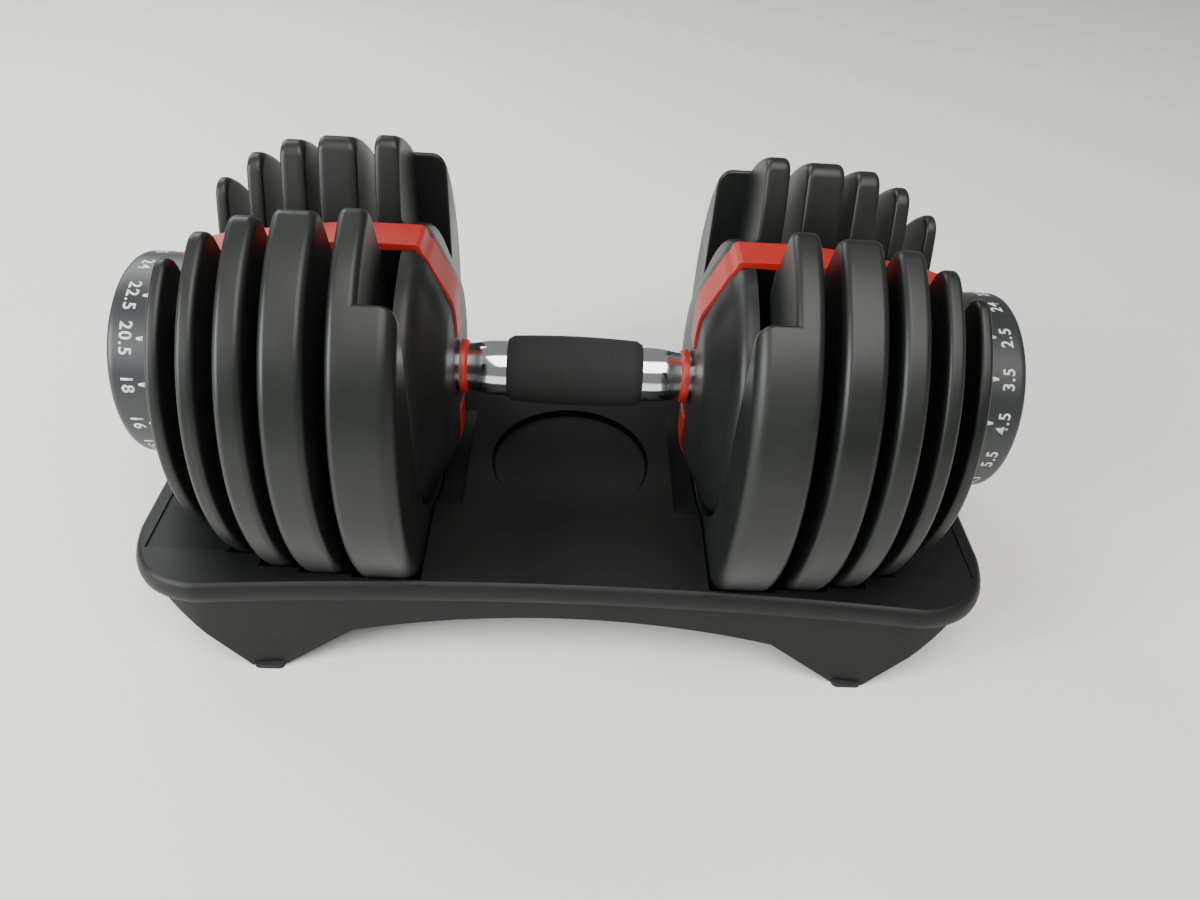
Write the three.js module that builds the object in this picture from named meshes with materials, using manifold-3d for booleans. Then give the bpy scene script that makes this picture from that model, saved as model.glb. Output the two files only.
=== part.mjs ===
// Adjustable dumbbell on its storage tray: a handle with five weight plates at each end,
// picked up by hooked selector discs that a numbered dial at each end turns.
// Millimetres. +X runs along the handle, +Y to the back, +Z up. The origin is at the centre
// of the footprint, on the surface that the stand's feet rest on.
import * as THREE from "three";
import { mergeVertices } from "three/addons/utils/BufferGeometryUtils.js";
import Module from "manifold-3d";

const wasm = await Module();
wasm.setup();

// ---- Driving dimensions ----

const CLEARANCE = 0.3; // between pieces that touch or seat on each other
const SEGMENTS = 52; // sides of a large round piece
const MIDDLE_SEGMENTS = 32; // sides of a round piece as wide as a hand
const SMALL_SEGMENTS = 16; // sides of a small round piece

// Handle
const AXIS_HEIGHT = 114;
const GRIP_LENGTH = 68;
const GRIP_END_RADIUS = 16.4;
const GRIP_MIDDLE_RADIUS = 17.6;
const TUBE_RADIUS = 14;
const TUBE_END_RADIUS = 11.8;
const TUBE_TAPER_START = 44;
const TUBE_TAPER_END = 53;
const ROD_RADIUS = 7;
const ROD_END_GAP = 4;
const COLLAR_LENGTH = 4;
const COLLAR_WALL = 3.4;

// Guard: the domed inner end of the handle, on each side
const GUARD_FACE = 59; // from the middle of the handle
const GUARD_DEPTH = 21;
const GUARD_RADIUS = 70;
const GUARD_WALL = 3;
const GUARD_HUB_WALL = 6.5;
const GUARD_INNER_CHAMFER = 2;

// Bridge: the beam through the plates' slots, with the strap that folds over the guard
const BRIDGE_WIDTH = 20;
const BRIDGE_UNDER_GUARD = 1; // the bridge's top below the guard's rim
const BRIDGE_OVER_DIAL = 8; // the bridge's outer end above the dial
const BRIDGE_LEVEL_LENGTH = 32; // level stretch before the top slopes down to the dial
const STRAP_THICKNESS = 3;
const STRAP_PROUD = 1.2; // how far the strap stands out of the guard
const STRAP_INNER_RADIUS = 22;
const TONGUE_WIDTH = 16;
const TONGUE_TIP_RADIUS = 41;
const POINTER_LENGTH = 3;

// Plates, from the inner one out: thickness, radius and the gap up to the next piece
const PLATE_THICKNESS = [27.5, 18.2, 11.7, 7.5, 5.8];
const PLATE_RADIUS = [109, 107.5, 105, 98.5, 86.5];
const PLATE_GAP = [8.3, 6.3, 9.3, 11.5, 2];
const PLATE_LOAD = [6, 6, 4, 2, 1]; // in units of the smallest plate
const FIRST_PLATE = 70.5; // inner face of the first plate
const PLATE_EDGE = 3.2; // chamfer of the rims
const SLOT_SLEEVE_GAP = 2; // between the selector sleeve and the slot's straight sides
const SLOT_MOUTH = 32; // half width of the slot at the rim
const SLOT_FLARE = 34; // height of the stretch that widens to the mouth
const SLOT_FLARE_BEND = 0.4; // share of the flare below the mouth where it bends
const SLOT_BEND_WIDTH = 0.47; // share of the widening that is left at the bend
const POCKET_CLEARANCE = 2; // around the guard, inside the first plate
const FIRST_PLATE_WEB = 12; // what the pocket leaves of the first plate's thickness

// Selector: sleeve, hooked discs and dial
const SLEEVE_RADIUS = 20;
const DISC_RADIUS = 44;
const DISC_THICKNESS = 2.2;
const LIP_HEIGHT = 4; // radial height of a disc's hook
const TAB_DEPTH = 1.7; // how far a plate's tab stands out
const TAB_HEIGHT = 5.5;
const TAB_WIDTH = 15;
const HOOK_CLEARANCE = 0.5;
const DIAL_RADIUS = 50;
const DIAL_WALL = 3.4;
const DIAL_LENGTH = 32.4;
const DIAL_EDGE = 2.4;
const DIAL_INNER_EDGE = 0.8;
const DIAL_HUB_GAP = 1;
const DIAL_HUB_WALL = 4;
const CAP_RADIUS = 22;
const CAP_THICKNESS = 3;
const SCREW_HEAD_RADIUS = 7;
const SPIGOT_BORE = SCREW_HEAD_RADIUS + 1;
const SCREW_SHANK_RADIUS = 3;
const HALF_LENGTH = 215; // from the middle of the handle to the dial screw's head
const SCREW_HEAD_THICKNESS = 2.6;

// Index ring and detent, inside the guard
const SETTINGS = 15;
const RING_OUTER_RADIUS = 33;
const RING_INNER_RADIUS = 25.5;
const RING_LENGTH = 7;
const RING_FLANGE = 2;
const DIMPLE_RADIUS = 1.6;
const DIMPLE_DEPTH = 0.8;
const PLUNGER_RADIUS = 2.2;
const PLUNGER_LENGTH = 3.5;
const PLUNGER_TRAVEL = 1;
const SPRING_WIRE = 0.35;
const SPRING_TURNS = 2;

// Tray
const TRAY_HALF_LENGTH = 213;
const TRAY_HALF_DEPTH = 102;
const TRAY_WAIST = 8; // how much the long edges draw in at the middle
const TRAY_CORNER = 40;
const TRAY_TOP = 53.5;
const TRAY_SEAM = 42.5;
const TRAY_WALL = 2.8;
const TRAY_EDGE = 2.5;
const WELL_CLEARANCE = 0.8;
const RIB_TOP = 30;
const RIB_CLEARANCE = 1.2;
const DECK_OUTER = 204;
const DECK_INNER = 156;
const DECK_DEPTH = 154;
const DECK_OUTER_HEIGHT = 51.5;
const DECK_INNER_HEIGHT = 49.5;
const RECESS_RADIUS = 43.5;
const RECESS_DEPTH = 5.5;
const DISC_PLATE_THICKNESS = 2;

// Stand
const STAND_INSET = 3; // inside the tray's edge
const STAND_WALL = 3;
const STAND_FLANGE = 3;
const FOOT_SPREAD = 107.5; // outer half depth at the floor
const FOOT_OUTER = 154;
const FOOT_INNER = 138;
const FOOT_LENGTH = 16;
const ARCH_SHOULDER = 104;
const ARCH_SHOULDER_HEIGHT = 22;
const ARCH_HEIGHT = 31;
const END_ARCH_HEIGHT = 38.5;
const PAD_THICKNESS = 3;
const STAND_SCREW_RADIUS = 3;
const STAND_SCREW_HEAD = 5;
const STAND_SCREW_X = 177;
const STAND_SCREW_Y = 78;
const SCREW_BOSS = 7;

// ---- Places worked out from the driving dimensions ----

const GUARD_BACK = GUARD_FACE + GUARD_DEPTH;
const TRAY_UNDER = TRAY_SEAM + 4; // underside of the tray's top sheet

// Inner and outer faces of each plate.
const plateFaces = [];
let nextFace = FIRST_PLATE;
for (let i = 0; i < PLATE_THICKNESS.length; i++) {
  plateFaces.push({ inner: nextFace, outer: nextFace + PLATE_THICKNESS[i] });
  nextFace += PLATE_THICKNESS[i] + PLATE_GAP[i];
}
const DIAL_INNER_FACE = nextFace;
const DIAL_OUTER_FACE = DIAL_INNER_FACE + DIAL_LENGTH;
const LAST_PLATE = PLATE_THICKNESS.length - 1;
const POCKET_RADIUS = GUARD_RADIUS + POCKET_CLEARANCE;
const RING_START = GUARD_BACK - RING_LENGTH - RING_FLANGE - 1;
const RING_MIDDLE = (RING_OUTER_RADIUS + RING_INNER_RADIUS) / 2;
const GUARD_FACE_RADIUS = RING_OUTER_RADIUS + 7; // flat face over the index ring
const BRIDGE_TOP = GUARD_RADIUS - BRIDGE_UNDER_GUARD;
const BRIDGE_OUTER_TOP = DIAL_RADIUS + BRIDGE_OVER_DIAL;

// ---- Solids ----

/** Turns a closed geometry into a solid, facing out. */
function solid(geometry) {
  const bare = geometry.clone();
  bare.deleteAttribute("normal");
  bare.deleteAttribute("uv");
  const merged = mergeVertices(bare, 1e-4);
  const build = (triVerts) =>
    new wasm.Manifold(
      new wasm.Mesh({
        numProp: 3,
        vertProperties: merged.attributes.position.array,
        triVerts,
      }),
    );
  const triangles = new Uint32Array(merged.index.array);
  const made = build(triangles);
  if (made.volume() > 0) return made;
  return build(triangles.reverse());
}

/** Turns a solid back into a geometry. */
function geometryOf(body) {
  const mesh = body.getMesh();
  const geometry = new THREE.BufferGeometry();
  const positions = new THREE.BufferAttribute(mesh.vertProperties, mesh.numProp);
  geometry.setAttribute("position", positions);
  geometry.setIndex(new THREE.BufferAttribute(mesh.triVerts, 1));
  geometry.computeVertexNormals();
  return geometry;
}

/** Moves a body's axis from height 0 to the handle's axis. */
function onAxis(body) {
  return body.translate([0, 0, AXIS_HEIGHT]);
}

/** A body turned about the X axis, from points [x, radius] that close on themselves. */
function turned(points, segments = SEGMENTS) {
  const profile = points.map(([x, radius]) => new THREE.Vector2(radius, x));
  profile.push(profile[0].clone());
  const lathe = new THREE.LatheGeometry(profile, segments);
  lathe.rotateZ(-Math.PI / 2);
  return solid(lathe);
}

/** A round disc or tube about the X axis with chamfered outer edges. */
function drum(x0, x1, radius, bore = 0, edge = 0, segments = SEGMENTS) {
  const outer = [
    [x0, radius - edge],
    [x0 + edge, radius],
    [x1 - edge, radius],
    [x1, radius - edge],
  ];
  const ends = [
    [x1, bore],
    [x0, bore],
  ];
  return turned([...outer, ...ends], segments);
}

/** A solid cylinder about the X axis whose profile meets the axis. */
function cylinderX(x0, x1, radius, segments = SMALL_SEGMENTS) {
  const shape = new THREE.CylinderGeometry(radius, radius, x1 - x0, segments);
  shape.rotateZ(-Math.PI / 2);
  shape.translate((x0 + x1) / 2, 0, 0);
  return solid(shape);
}

/** A solid cylinder about a vertical line. */
function cylinderZ(x, y, z0, z1, radius, segments = SMALL_SEGMENTS) {
  const shape = new THREE.CylinderGeometry(radius, radius, z1 - z0, segments);
  shape.rotateX(Math.PI / 2);
  shape.translate(x, y, (z0 + z1) / 2);
  return solid(shape);
}

/** A box between two corners. */
function box(low, high) {
  const size = high.map((value, i) => value - low[i]);
  const shape = new THREE.BoxGeometry(...size);
  shape.translate(...high.map((value, i) => (value + low[i]) / 2));
  return solid(shape);
}

/** Extrudes a shape drawn in Y and Z from x0 to x1. */
function extrudeX(shape, x0, x1, curveSegments = 8) {
  const options = { depth: x1 - x0, bevelEnabled: false, curveSegments };
  const geometry = new THREE.ExtrudeGeometry(shape, options);
  const turn = new THREE.Matrix4().makeBasis(
    new THREE.Vector3(0, 1, 0),
    new THREE.Vector3(0, 0, 1),
    new THREE.Vector3(1, 0, 0),
  );
  geometry.applyMatrix4(turn);
  geometry.translate(x0, 0, 0);
  return solid(geometry);
}

/** Extrudes a shape drawn in X and Z from y0 to y1. */
function extrudeY(shape, y0, y1, curveSegments = 8) {
  const options = { depth: y1 - y0, bevelEnabled: false, curveSegments };
  const geometry = new THREE.ExtrudeGeometry(shape, options);
  geometry.rotateX(Math.PI / 2);
  geometry.translate(0, y1, 0);
  return solid(geometry);
}

/** Extrudes a shape drawn in X and Y from z0 to z1. */
function extrudeZ(shape, z0, z1, curveSegments = 8) {
  const options = { depth: z1 - z0, bevelEnabled: false, curveSegments };
  const geometry = new THREE.ExtrudeGeometry(shape, options);
  geometry.translate(0, 0, z0);
  return solid(geometry);
}

/** A straight-sided shape through the points. */
function polygon(points) {
  return new THREE.Shape(points.map(([u, v]) => new THREE.Vector2(u, v)));
}

/** A slot with a round bottom about the axis, whose right side runs up through the points. */
function slot(x0, x1, side) {
  const halfWidth = side[0][0];
  const shape = new THREE.Shape();
  shape.moveTo(...side.at(-1));
  for (const [y, z] of [...side].reverse()) {
    shape.lineTo(-y, z);
  }
  shape.absarc(0, 0, halfWidth, Math.PI, 2 * Math.PI, false);
  for (const [y, z] of side) {
    shape.lineTo(y, z);
  }
  return extrudeX(shape, x0, x1, 10);
}

/** Right side of a plate's slot: straight beside the sleeve, and wider towards the rim. */
function slotSide(radius) {
  const narrow = SLEEVE_RADIUS + SLOT_SLEEVE_GAP;
  const bend = narrow + (SLOT_MOUTH - narrow) * SLOT_BEND_WIDTH;
  const mouth = Math.sqrt(radius ** 2 - SLOT_MOUTH ** 2);
  return [
    [narrow, 0],
    [narrow, mouth - SLOT_FLARE],
    [bend, mouth - SLOT_FLARE * SLOT_FLARE_BEND],
    [SLOT_MOUTH, mouth],
    [SLOT_MOUTH, radius + 1],
  ];
}

/** A coil spring along Z that starts at height 0. */
function coilSpring(radius, length) {
  const stepsPerTurn = 10;
  const steps = SPRING_TURNS * stepsPerTurn;
  const points = [];
  for (let i = 0; i <= steps; i++) {
    const angle = (2 * Math.PI * i) / stepsPerTurn;
    const height = (length * i) / steps;
    points.push(
      new THREE.Vector3(radius * Math.cos(angle), radius * Math.sin(angle), height),
    );
  }
  const section = new THREE.Shape();
  section.absarc(0, 0, SPRING_WIRE, 0, 2 * Math.PI, false);
  const options = {
    steps,
    extrudePath: new THREE.CatmullRomCurve3(points),
    bevelEnabled: false,
    curveSegments: 3,
  };
  return solid(new THREE.ExtrudeGeometry(section, options));
}

// ---- Handle ----

function gripSleeve() {
  const half = GRIP_LENGTH / 2;
  const bore = TUBE_RADIUS + CLEARANCE;
  const steps = 6;
  const points = [];
  for (let i = 0; i <= steps; i++) {
    const t = (2 * i) / steps - 1;
    const swell = (GRIP_MIDDLE_RADIUS - GRIP_END_RADIUS) * (1 - t * t);
    points.push([t * half, GRIP_END_RADIUS + swell]);
  }
  points.push([half, bore], [-half, bore]);
  return turned(points, MIDDLE_SEGMENTS);
}

function handleTube() {
  const end = RING_START + RING_LENGTH - 1;
  const bore = ROD_RADIUS + CLEARANCE;
  const right = [
    [TUBE_TAPER_START, TUBE_RADIUS],
    [TUBE_TAPER_END, TUBE_END_RADIUS],
    [end, TUBE_END_RADIUS],
    [end, bore],
  ];
  const left = right.map(([x, radius]) => [-x, radius]).reverse();
  return turned([...left, ...right], MIDDLE_SEGMENTS);
}

function coreRod() {
  const end = DIAL_OUTER_FACE - DIAL_WALL - ROD_END_GAP;
  return cylinderX(-end, end, ROD_RADIUS);
}

/** Outline of the guard's outside as [x, radius], from its face to its back. */
function guardOutside() {
  const rise = GUARD_RADIUS - GUARD_FACE_RADIUS;
  return [
    [GUARD_FACE, GUARD_FACE_RADIUS],
    [GUARD_FACE + 2, GUARD_FACE_RADIUS + 0.2 * rise],
    [GUARD_FACE + 7.5, GUARD_FACE_RADIUS + 0.57 * rise],
    [GUARD_FACE + 11.5, GUARD_FACE_RADIUS + 0.87 * rise],
    [GUARD_FACE + 15, GUARD_RADIUS],
    [GUARD_BACK, GUARD_RADIUS],
  ];
}

/** A line of points moved sideways, away from the handle's middle, by a distance. */
function offsetLine(points, distance) {
  return points.map(([x, radius], i) => {
    const before = points[Math.max(0, i - 1)];
    const after = points[Math.min(points.length - 1, i + 1)];
    const run = [after[0] - before[0], after[1] - before[1]];
    const length = Math.hypot(...run);
    return [x - (distance * run[1]) / length, radius + (distance * run[0]) / length];
  });
}

/** The strap's section: a band that follows the guard's outside, as points in X and Z. */
function strapShape(grow) {
  const line = [[GUARD_FACE, STRAP_INNER_RADIUS - grow], ...guardOutside()];
  line.push([GUARD_BACK + 1 + grow, GUARD_RADIUS]);
  const outer = offsetLine(line, STRAP_PROUD + grow);
  const inner = offsetLine(line, STRAP_PROUD - STRAP_THICKNESS - grow);
  return [...outer, ...inner.reverse()];
}

/** The bridge's beam over the selector discs, from the guard's back to the dial. */
function beamShape() {
  const start = GUARD_BACK + CLEARANCE;
  const level = GUARD_BACK + BRIDGE_LEVEL_LENGTH;
  const bottom = DISC_RADIUS + 2.5;
  const tip = DIAL_INNER_FACE + POINTER_LENGTH;
  const lip = DIAL_RADIUS + 2;
  return [
    [start, bottom],
    [start, BRIDGE_TOP],
    [level, BRIDGE_TOP],
    [DIAL_INNER_FACE - CLEARANCE, BRIDGE_OUTER_TOP],
    [tip, BRIDGE_OUTER_TOP - 3],
    [DIAL_INNER_FACE - CLEARANCE, lip],
    [DIAL_INNER_FACE - CLEARANCE, bottom],
  ];
}

function bridge() {
  const half = BRIDGE_WIDTH / 2;
  const strap = extrudeY(polygon(strapShape(0)), -half, half);
  const beam = extrudeY(polygon(beamShape()), -half, half);
  return onAxis(strap.add(beam));
}

/** The short strap below the handle that matches the one above. */
function tongue() {
  const half = TONGUE_WIDTH / 2;
  const outer = GUARD_FACE - STRAP_PROUD;
  const inner = outer + STRAP_THICKNESS;
  const tip = TONGUE_TIP_RADIUS;
  const shape = polygon([
    [outer, -STRAP_INNER_RADIUS],
    [inner, -STRAP_INNER_RADIUS],
    [inner, -tip],
    [outer, -tip],
  ]);
  return onAxis(extrudeY(shape, -half, half));
}

function guard() {
  const outside = guardOutside();
  const inside = outside
    .slice(1)
    .map(([x, radius]) => [Math.min(x + GUARD_WALL, GUARD_BACK), radius - GUARD_WALL])
    .reverse();
  const bore = TUBE_END_RADIUS + CLEARANCE;
  const hub = bore + GUARD_HUB_WALL;
  const hubEnd = RING_START + RING_LENGTH - 1;
  const wall = GUARD_FACE + GUARD_WALL;
  let shell = turned(
    [
      [GUARD_FACE, bore],
      ...outside,
      ...inside,
      [wall, inside.at(-1)[1] - GUARD_INNER_CHAMFER],
      [wall, hub],
      [hubEnd, hub],
      [hubEnd, bore],
    ],
    MIDDLE_SEGMENTS,
  );
  shell = shell.add(detentBoss());
  const half = BRIDGE_WIDTH / 2 + CLEARANCE;
  const groove = polygon(strapShape(CLEARANCE));
  shell = shell.subtract(extrudeY(groove, -half, half));
  return onAxis(shell.subtract(tongueRoom()));
}

/** Room for the tongue in the guard's face. */
function tongueRoom() {
  const half = TONGUE_WIDTH / 2 + CLEARANCE;
  const low = [GUARD_FACE - 1, -half, -TONGUE_TIP_RADIUS - CLEARANCE];
  const high = [GUARD_FACE + STRAP_THICKNESS - STRAP_PROUD + CLEARANCE, half, -STRAP_INNER_RADIUS + CLEARANCE];
  return box(low, high);
}

/** Socket inside the guard for the detent plunger. */
function detentBoss() {
  const wall = GUARD_FACE + GUARD_WALL;
  const tube = drum(wall - 1, RING_START - 2.5, PLUNGER_RADIUS + 2.2, 0, 0, SMALL_SEGMENTS);
  const bore = cylinderX(wall, RING_START, PLUNGER_RADIUS + CLEARANCE, SMALL_SEGMENTS);
  return tube.subtract(bore).translate([0, RING_MIDDLE, 0]);
}

function detentPlunger() {
  const tip = RING_START - CLEARANCE;
  const start = tip - PLUNGER_LENGTH;
  const body = drum(start, tip, PLUNGER_RADIUS, 0, 0.9, 16);
  return onAxis(body.translate([0, RING_MIDDLE, 0]));
}

function detentSpring() {
  const wall = GUARD_FACE + GUARD_WALL;
  const room = RING_START - CLEARANCE - PLUNGER_LENGTH - PLUNGER_TRAVEL - wall;
  const length = room - 2 * SPRING_WIRE - 2 * CLEARANCE;
  const coil = coilSpring(PLUNGER_RADIUS / 2, length);
  const laid = coil.rotate([0, 90, 0]);
  return onAxis(laid.translate([wall + SPRING_WIRE + CLEARANCE, RING_MIDDLE, 0]));
}

function tubeCollar() {
  const end = GUARD_FACE - STRAP_PROUD - CLEARANCE;
  const bore = TUBE_END_RADIUS + CLEARANCE;
  return onAxis(drum(end - COLLAR_LENGTH, end, bore + COLLAR_WALL, bore, 0.8, MIDDLE_SEGMENTS));
}

// ---- Selector ----

/** Angle between two settings of the dial. */
const SETTING_ANGLE = (2 * Math.PI) / SETTINGS;

/** Load of each setting above the empty handle, in units of the smallest plate. */
function settingLoads() {
  const loads = [];
  const oneByOne = 9;
  for (let i = 0; i < SETTINGS - 1; i++) {
    const beyond = Math.max(0, i - oneByOne + 1);
    loads.push(i + beyond);
  }
  loads.push(PLATE_LOAD.reduce((sum, load) => sum + load, 0));
  return loads;
}

/** Whether a setting picks up a plate: the heaviest plates that fit the load go first. */
function picksUp(load, plateIndex) {
  let left = load;
  for (let i = 0; i <= plateIndex; i++) {
    const taken = PLATE_LOAD[i] <= left;
    if (taken) left -= PLATE_LOAD[i];
    if (i === plateIndex) return taken;
  }
  return false;
}

/** The hook sectors of a disc, as [first, last] setting numbers counted from the full load. */
function hookSectors(plateIndex) {
  const loads = settingLoads().reverse();
  const sectors = [];
  loads.forEach((load, k) => {
    if (!picksUp(load, plateIndex)) return;
    const current = sectors.at(-1);
    if (current && current[1] === k - 1) current[1] = k;
    else sectors.push([k, k]);
  });
  return sectors;
}

/** A ring sector about the axis, centred on the bottom when the middle angle is 0. */
function ringSector(x0, x1, inner, outer, from, to) {
  const shape = new THREE.Shape();
  const turnToBottom = -Math.PI / 2;
  const a = from + turnToBottom;
  const b = to + turnToBottom;
  shape.absarc(0, 0, outer, a, b, false);
  shape.absarc(0, 0, inner, b, a, true);
  return extrudeX(shape, x0, x1, Math.round((to - from) / SETTING_ANGLE));
}

function selectorDisc(plateIndex) {
  const face = plateFaces[plateIndex].outer;
  const web = face + TAB_DEPTH + HOOK_CLEARANCE;
  let disc = drum(web, web + DISC_THICKNESS, DISC_RADIUS, SLEEVE_RADIUS + CLEARANCE, 0, 2 * SETTINGS);
  for (const [first, last] of hookSectors(plateIndex)) {
    const from = (first - 0.5) * SETTING_ANGLE;
    const to = (last + 0.5) * SETTING_ANGLE;
    const inner = DISC_RADIUS - LIP_HEIGHT;
    disc = disc.add(ringSector(face + HOOK_CLEARANCE, web, inner, DISC_RADIUS, from, to));
  }
  return onAxis(disc);
}

function selectorSleeve() {
  const bore = ROD_RADIUS + CLEARANCE;
  const ringEnd = RING_START + RING_LENGTH;
  const flangeEnd = ringEnd + RING_FLANGE;
  const end = DIAL_OUTER_FACE - DIAL_WALL - CLEARANCE;
  let sleeve = turned(
    [
      [ringEnd, bore],
      [ringEnd, RING_INNER_RADIUS],
      [RING_START, RING_INNER_RADIUS],
      [RING_START, RING_OUTER_RADIUS],
      [flangeEnd, RING_OUTER_RADIUS],
      [flangeEnd, SLEEVE_RADIUS],
      [end, SLEEVE_RADIUS],
      [end, bore],
    ],
    3 * SETTINGS,
  );
  for (let i = 0; i < SETTINGS; i++) {
    const degrees = (360 * i) / SETTINGS;
    const dimple = cylinderX(RING_START - 1, RING_START + DIMPLE_DEPTH, DIMPLE_RADIUS, 6);
    const dimpleAt = dimple.translate([0, RING_MIDDLE, 0]);
    sleeve = sleeve.subtract(dimpleAt.rotate([degrees, 0, 0]));
  }
  return onAxis(sleeve);
}

function dial() {
  const inner = DIAL_INNER_FACE;
  const outer = DIAL_OUTER_FACE;
  const shellInside = DIAL_RADIUS - DIAL_WALL;
  const wall = outer - DIAL_WALL;
  const lastDiscEnd = plateFaces[LAST_PLATE].outer + TAB_DEPTH + HOOK_CLEARANCE + DISC_THICKNESS;
  const hubStart = lastDiscEnd + DIAL_HUB_GAP;
  const hubBore = SLEEVE_RADIUS + CLEARANCE;
  const hub = hubBore + DIAL_HUB_WALL;
  const body = turned(
    [
      [inner, shellInside],
      [inner, DIAL_RADIUS - DIAL_INNER_EDGE],
      [inner + DIAL_INNER_EDGE, DIAL_RADIUS],
      [outer - DIAL_EDGE, DIAL_RADIUS],
      [outer, DIAL_RADIUS - DIAL_EDGE],
      [outer, SPIGOT_BORE],
      [wall, SPIGOT_BORE],
      [wall, hubBore],
      [hubStart, hubBore],
      [hubStart, hub],
      [wall, hub],
      [wall, shellInside],
    ],
    MIDDLE_SEGMENTS,
  );
  return onAxis(body);
}

/** Cap with a spigot in the dial's bore and a sunk seat for the screw's head. */
function dialCap() {
  const start = DIAL_OUTER_FACE + CLEARANCE;
  const bore = SCREW_SHANK_RADIUS + CLEARANCE;
  const spigot = DIAL_OUTER_FACE - DIAL_WALL + CLEARANCE;
  const seat = HALF_LENGTH - SCREW_HEAD_THICKNESS - CLEARANCE;
  let cap = drum(start, start + CAP_THICKNESS, CAP_RADIUS, bore, 1, MIDDLE_SEGMENTS);
  cap = cap.add(drum(spigot, start + 1, SPIGOT_BORE - CLEARANCE, bore, 0, SMALL_SEGMENTS));
  return onAxis(cap.subtract(cylinderX(seat, HALF_LENGTH, SCREW_HEAD_RADIUS + CLEARANCE)));
}

function dialScrew() {
  const rodEnd = DIAL_OUTER_FACE - DIAL_WALL - ROD_END_GAP;
  const headStart = HALF_LENGTH - SCREW_HEAD_THICKNESS;
  const shank = cylinderX(rodEnd + CLEARANCE, headStart + 1, SCREW_SHANK_RADIUS, 16);
  const head = cylinderX(headStart, HALF_LENGTH, SCREW_HEAD_RADIUS);
  const key = polygon(
    Array.from({ length: 6 }, (_, i) => {
      const angle = (Math.PI * i) / 3;
      return [3 * Math.cos(angle), 3 * Math.sin(angle)];
    }),
  );
  const socket = extrudeX(key, HALF_LENGTH - 1.5, HALF_LENGTH + 1);
  return onAxis(shank.add(head).subtract(socket));
}

// ---- Plates ----

function plate(i) {
  const { inner, outer } = plateFaces[i];
  const radius = PLATE_RADIUS[i];
  const edge = Math.min(PLATE_EDGE, PLATE_THICKNESS[i] * 0.35);
  let body = drum(inner, outer, radius, 0, edge);
  body = body.subtract(slot(inner - 1, outer + 1, slotSide(radius)));
  if (i === 0) {
    const pocketEnd = outer - FIRST_PLATE_WEB;
    const pocketSide = [
      [POCKET_RADIUS, 0],
      [POCKET_RADIUS, radius],
    ];
    body = body.subtract(slot(inner - 1, pocketEnd, pocketSide));
  }
  body = body.add(liftTab(outer));
  return onAxis(body);
}

/** Tab under a plate's slot that a disc's hook lifts. */
function liftTab(face) {
  const hook = DISC_RADIUS - LIP_HEIGHT - HOOK_CLEARANCE;
  const bottom = -Math.sqrt(hook ** 2 - (TAB_WIDTH / 2) ** 2);
  const low = [face - 1, -TAB_WIDTH / 2, bottom];
  const high = [face + TAB_DEPTH, TAB_WIDTH / 2, bottom + TAB_HEIGHT];
  return box(low, high);
}

// ---- Tray ----

/** The tray's outline, with its long edges drawn in at the middle and round corners. */
function trayOutline(inset) {
  const halfLength = TRAY_HALF_LENGTH - inset;
  const halfDepth = TRAY_HALF_DEPTH - inset;
  const corner = TRAY_CORNER - inset;
  const start = halfLength - corner;
  const waist = halfDepth - 2 * TRAY_WAIST;
  const shape = new THREE.Shape();
  shape.moveTo(-start, -halfDepth);
  shape.quadraticCurveTo(0, -waist, start, -halfDepth);
  shape.quadraticCurveTo(halfLength - 4, -halfDepth + 2, halfLength, -halfDepth + corner);
  shape.lineTo(halfLength, halfDepth - corner);
  shape.quadraticCurveTo(halfLength - 4, halfDepth - 2, start, halfDepth);
  shape.quadraticCurveTo(0, waist, -start, halfDepth);
  shape.quadraticCurveTo(-halfLength + 4, halfDepth - 2, -halfLength, halfDepth - corner);
  shape.lineTo(-halfLength, -halfDepth + corner);
  shape.quadraticCurveTo(-halfLength + 4, -halfDepth + 2, -start, -halfDepth);
  return shape;
}

/** Where each plate's stretch of the well ends, halfway over the gaps. */
function wellBounds() {
  const bounds = [FIRST_PLATE - RIB_CLEARANCE];
  for (let i = 0; i < LAST_PLATE; i++) {
    bounds.push(plateFaces[i].outer + PLATE_GAP[i] / 2);
  }
  bounds.push(plateFaces[LAST_PLATE].outer + RIB_CLEARANCE);
  return bounds;
}

/** The stepped well around one end's plates and guard, grown by a wall. */
function well(grow) {
  const bounds = wellBounds();
  const guardRoom = GUARD_FACE - 3.5;
  let body = drum(guardRoom - grow, bounds[0] + 1, GUARD_RADIUS + POCKET_CLEARANCE + grow, 0);
  for (let i = 0; i <= LAST_PLATE; i++) {
    const start = bounds[i] - grow;
    const end = bounds[i + 1] + grow;
    body = body.add(drum(start, end, PLATE_RADIUS[i] + WELL_CLEARANCE + grow, 0));
  }
  return onAxis(body);
}

/** Ribs that stand between the plates. */
function wellRibs() {
  let ribs = null;
  for (let i = 0; i < LAST_PLATE; i++) {
    const start = plateFaces[i].outer + RIB_CLEARANCE;
    const end = plateFaces[i + 1].inner - RIB_CLEARANCE;
    const rib = drum(start, end, PLATE_RADIUS[i + 1] + WELL_CLEARANCE + 1, 0);
    ribs = ribs ? ribs.add(rib) : rib;
  }
  const far = 2 * TRAY_HALF_LENGTH;
  return onAxis(ribs).intersect(box([0, -far, 0], [far, far, RIB_TOP]));
}

/** Room above the gently sloping deck at one end of the tray. */
function deckRoom() {
  const above = TRAY_TOP + 1;
  const shape = polygon([
    [DECK_INNER, DECK_INNER_HEIGHT],
    [DECK_OUTER, DECK_OUTER_HEIGHT],
    [DECK_OUTER, above],
    [DECK_INNER, above],
  ]);
  return extrudeY(shape, -DECK_DEPTH / 2, DECK_DEPTH / 2);
}

/** Applies a change to both ends of the tray. */
function bothEnds(body) {
  return body.add(body.rotate([0, 0, 180]));
}

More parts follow.
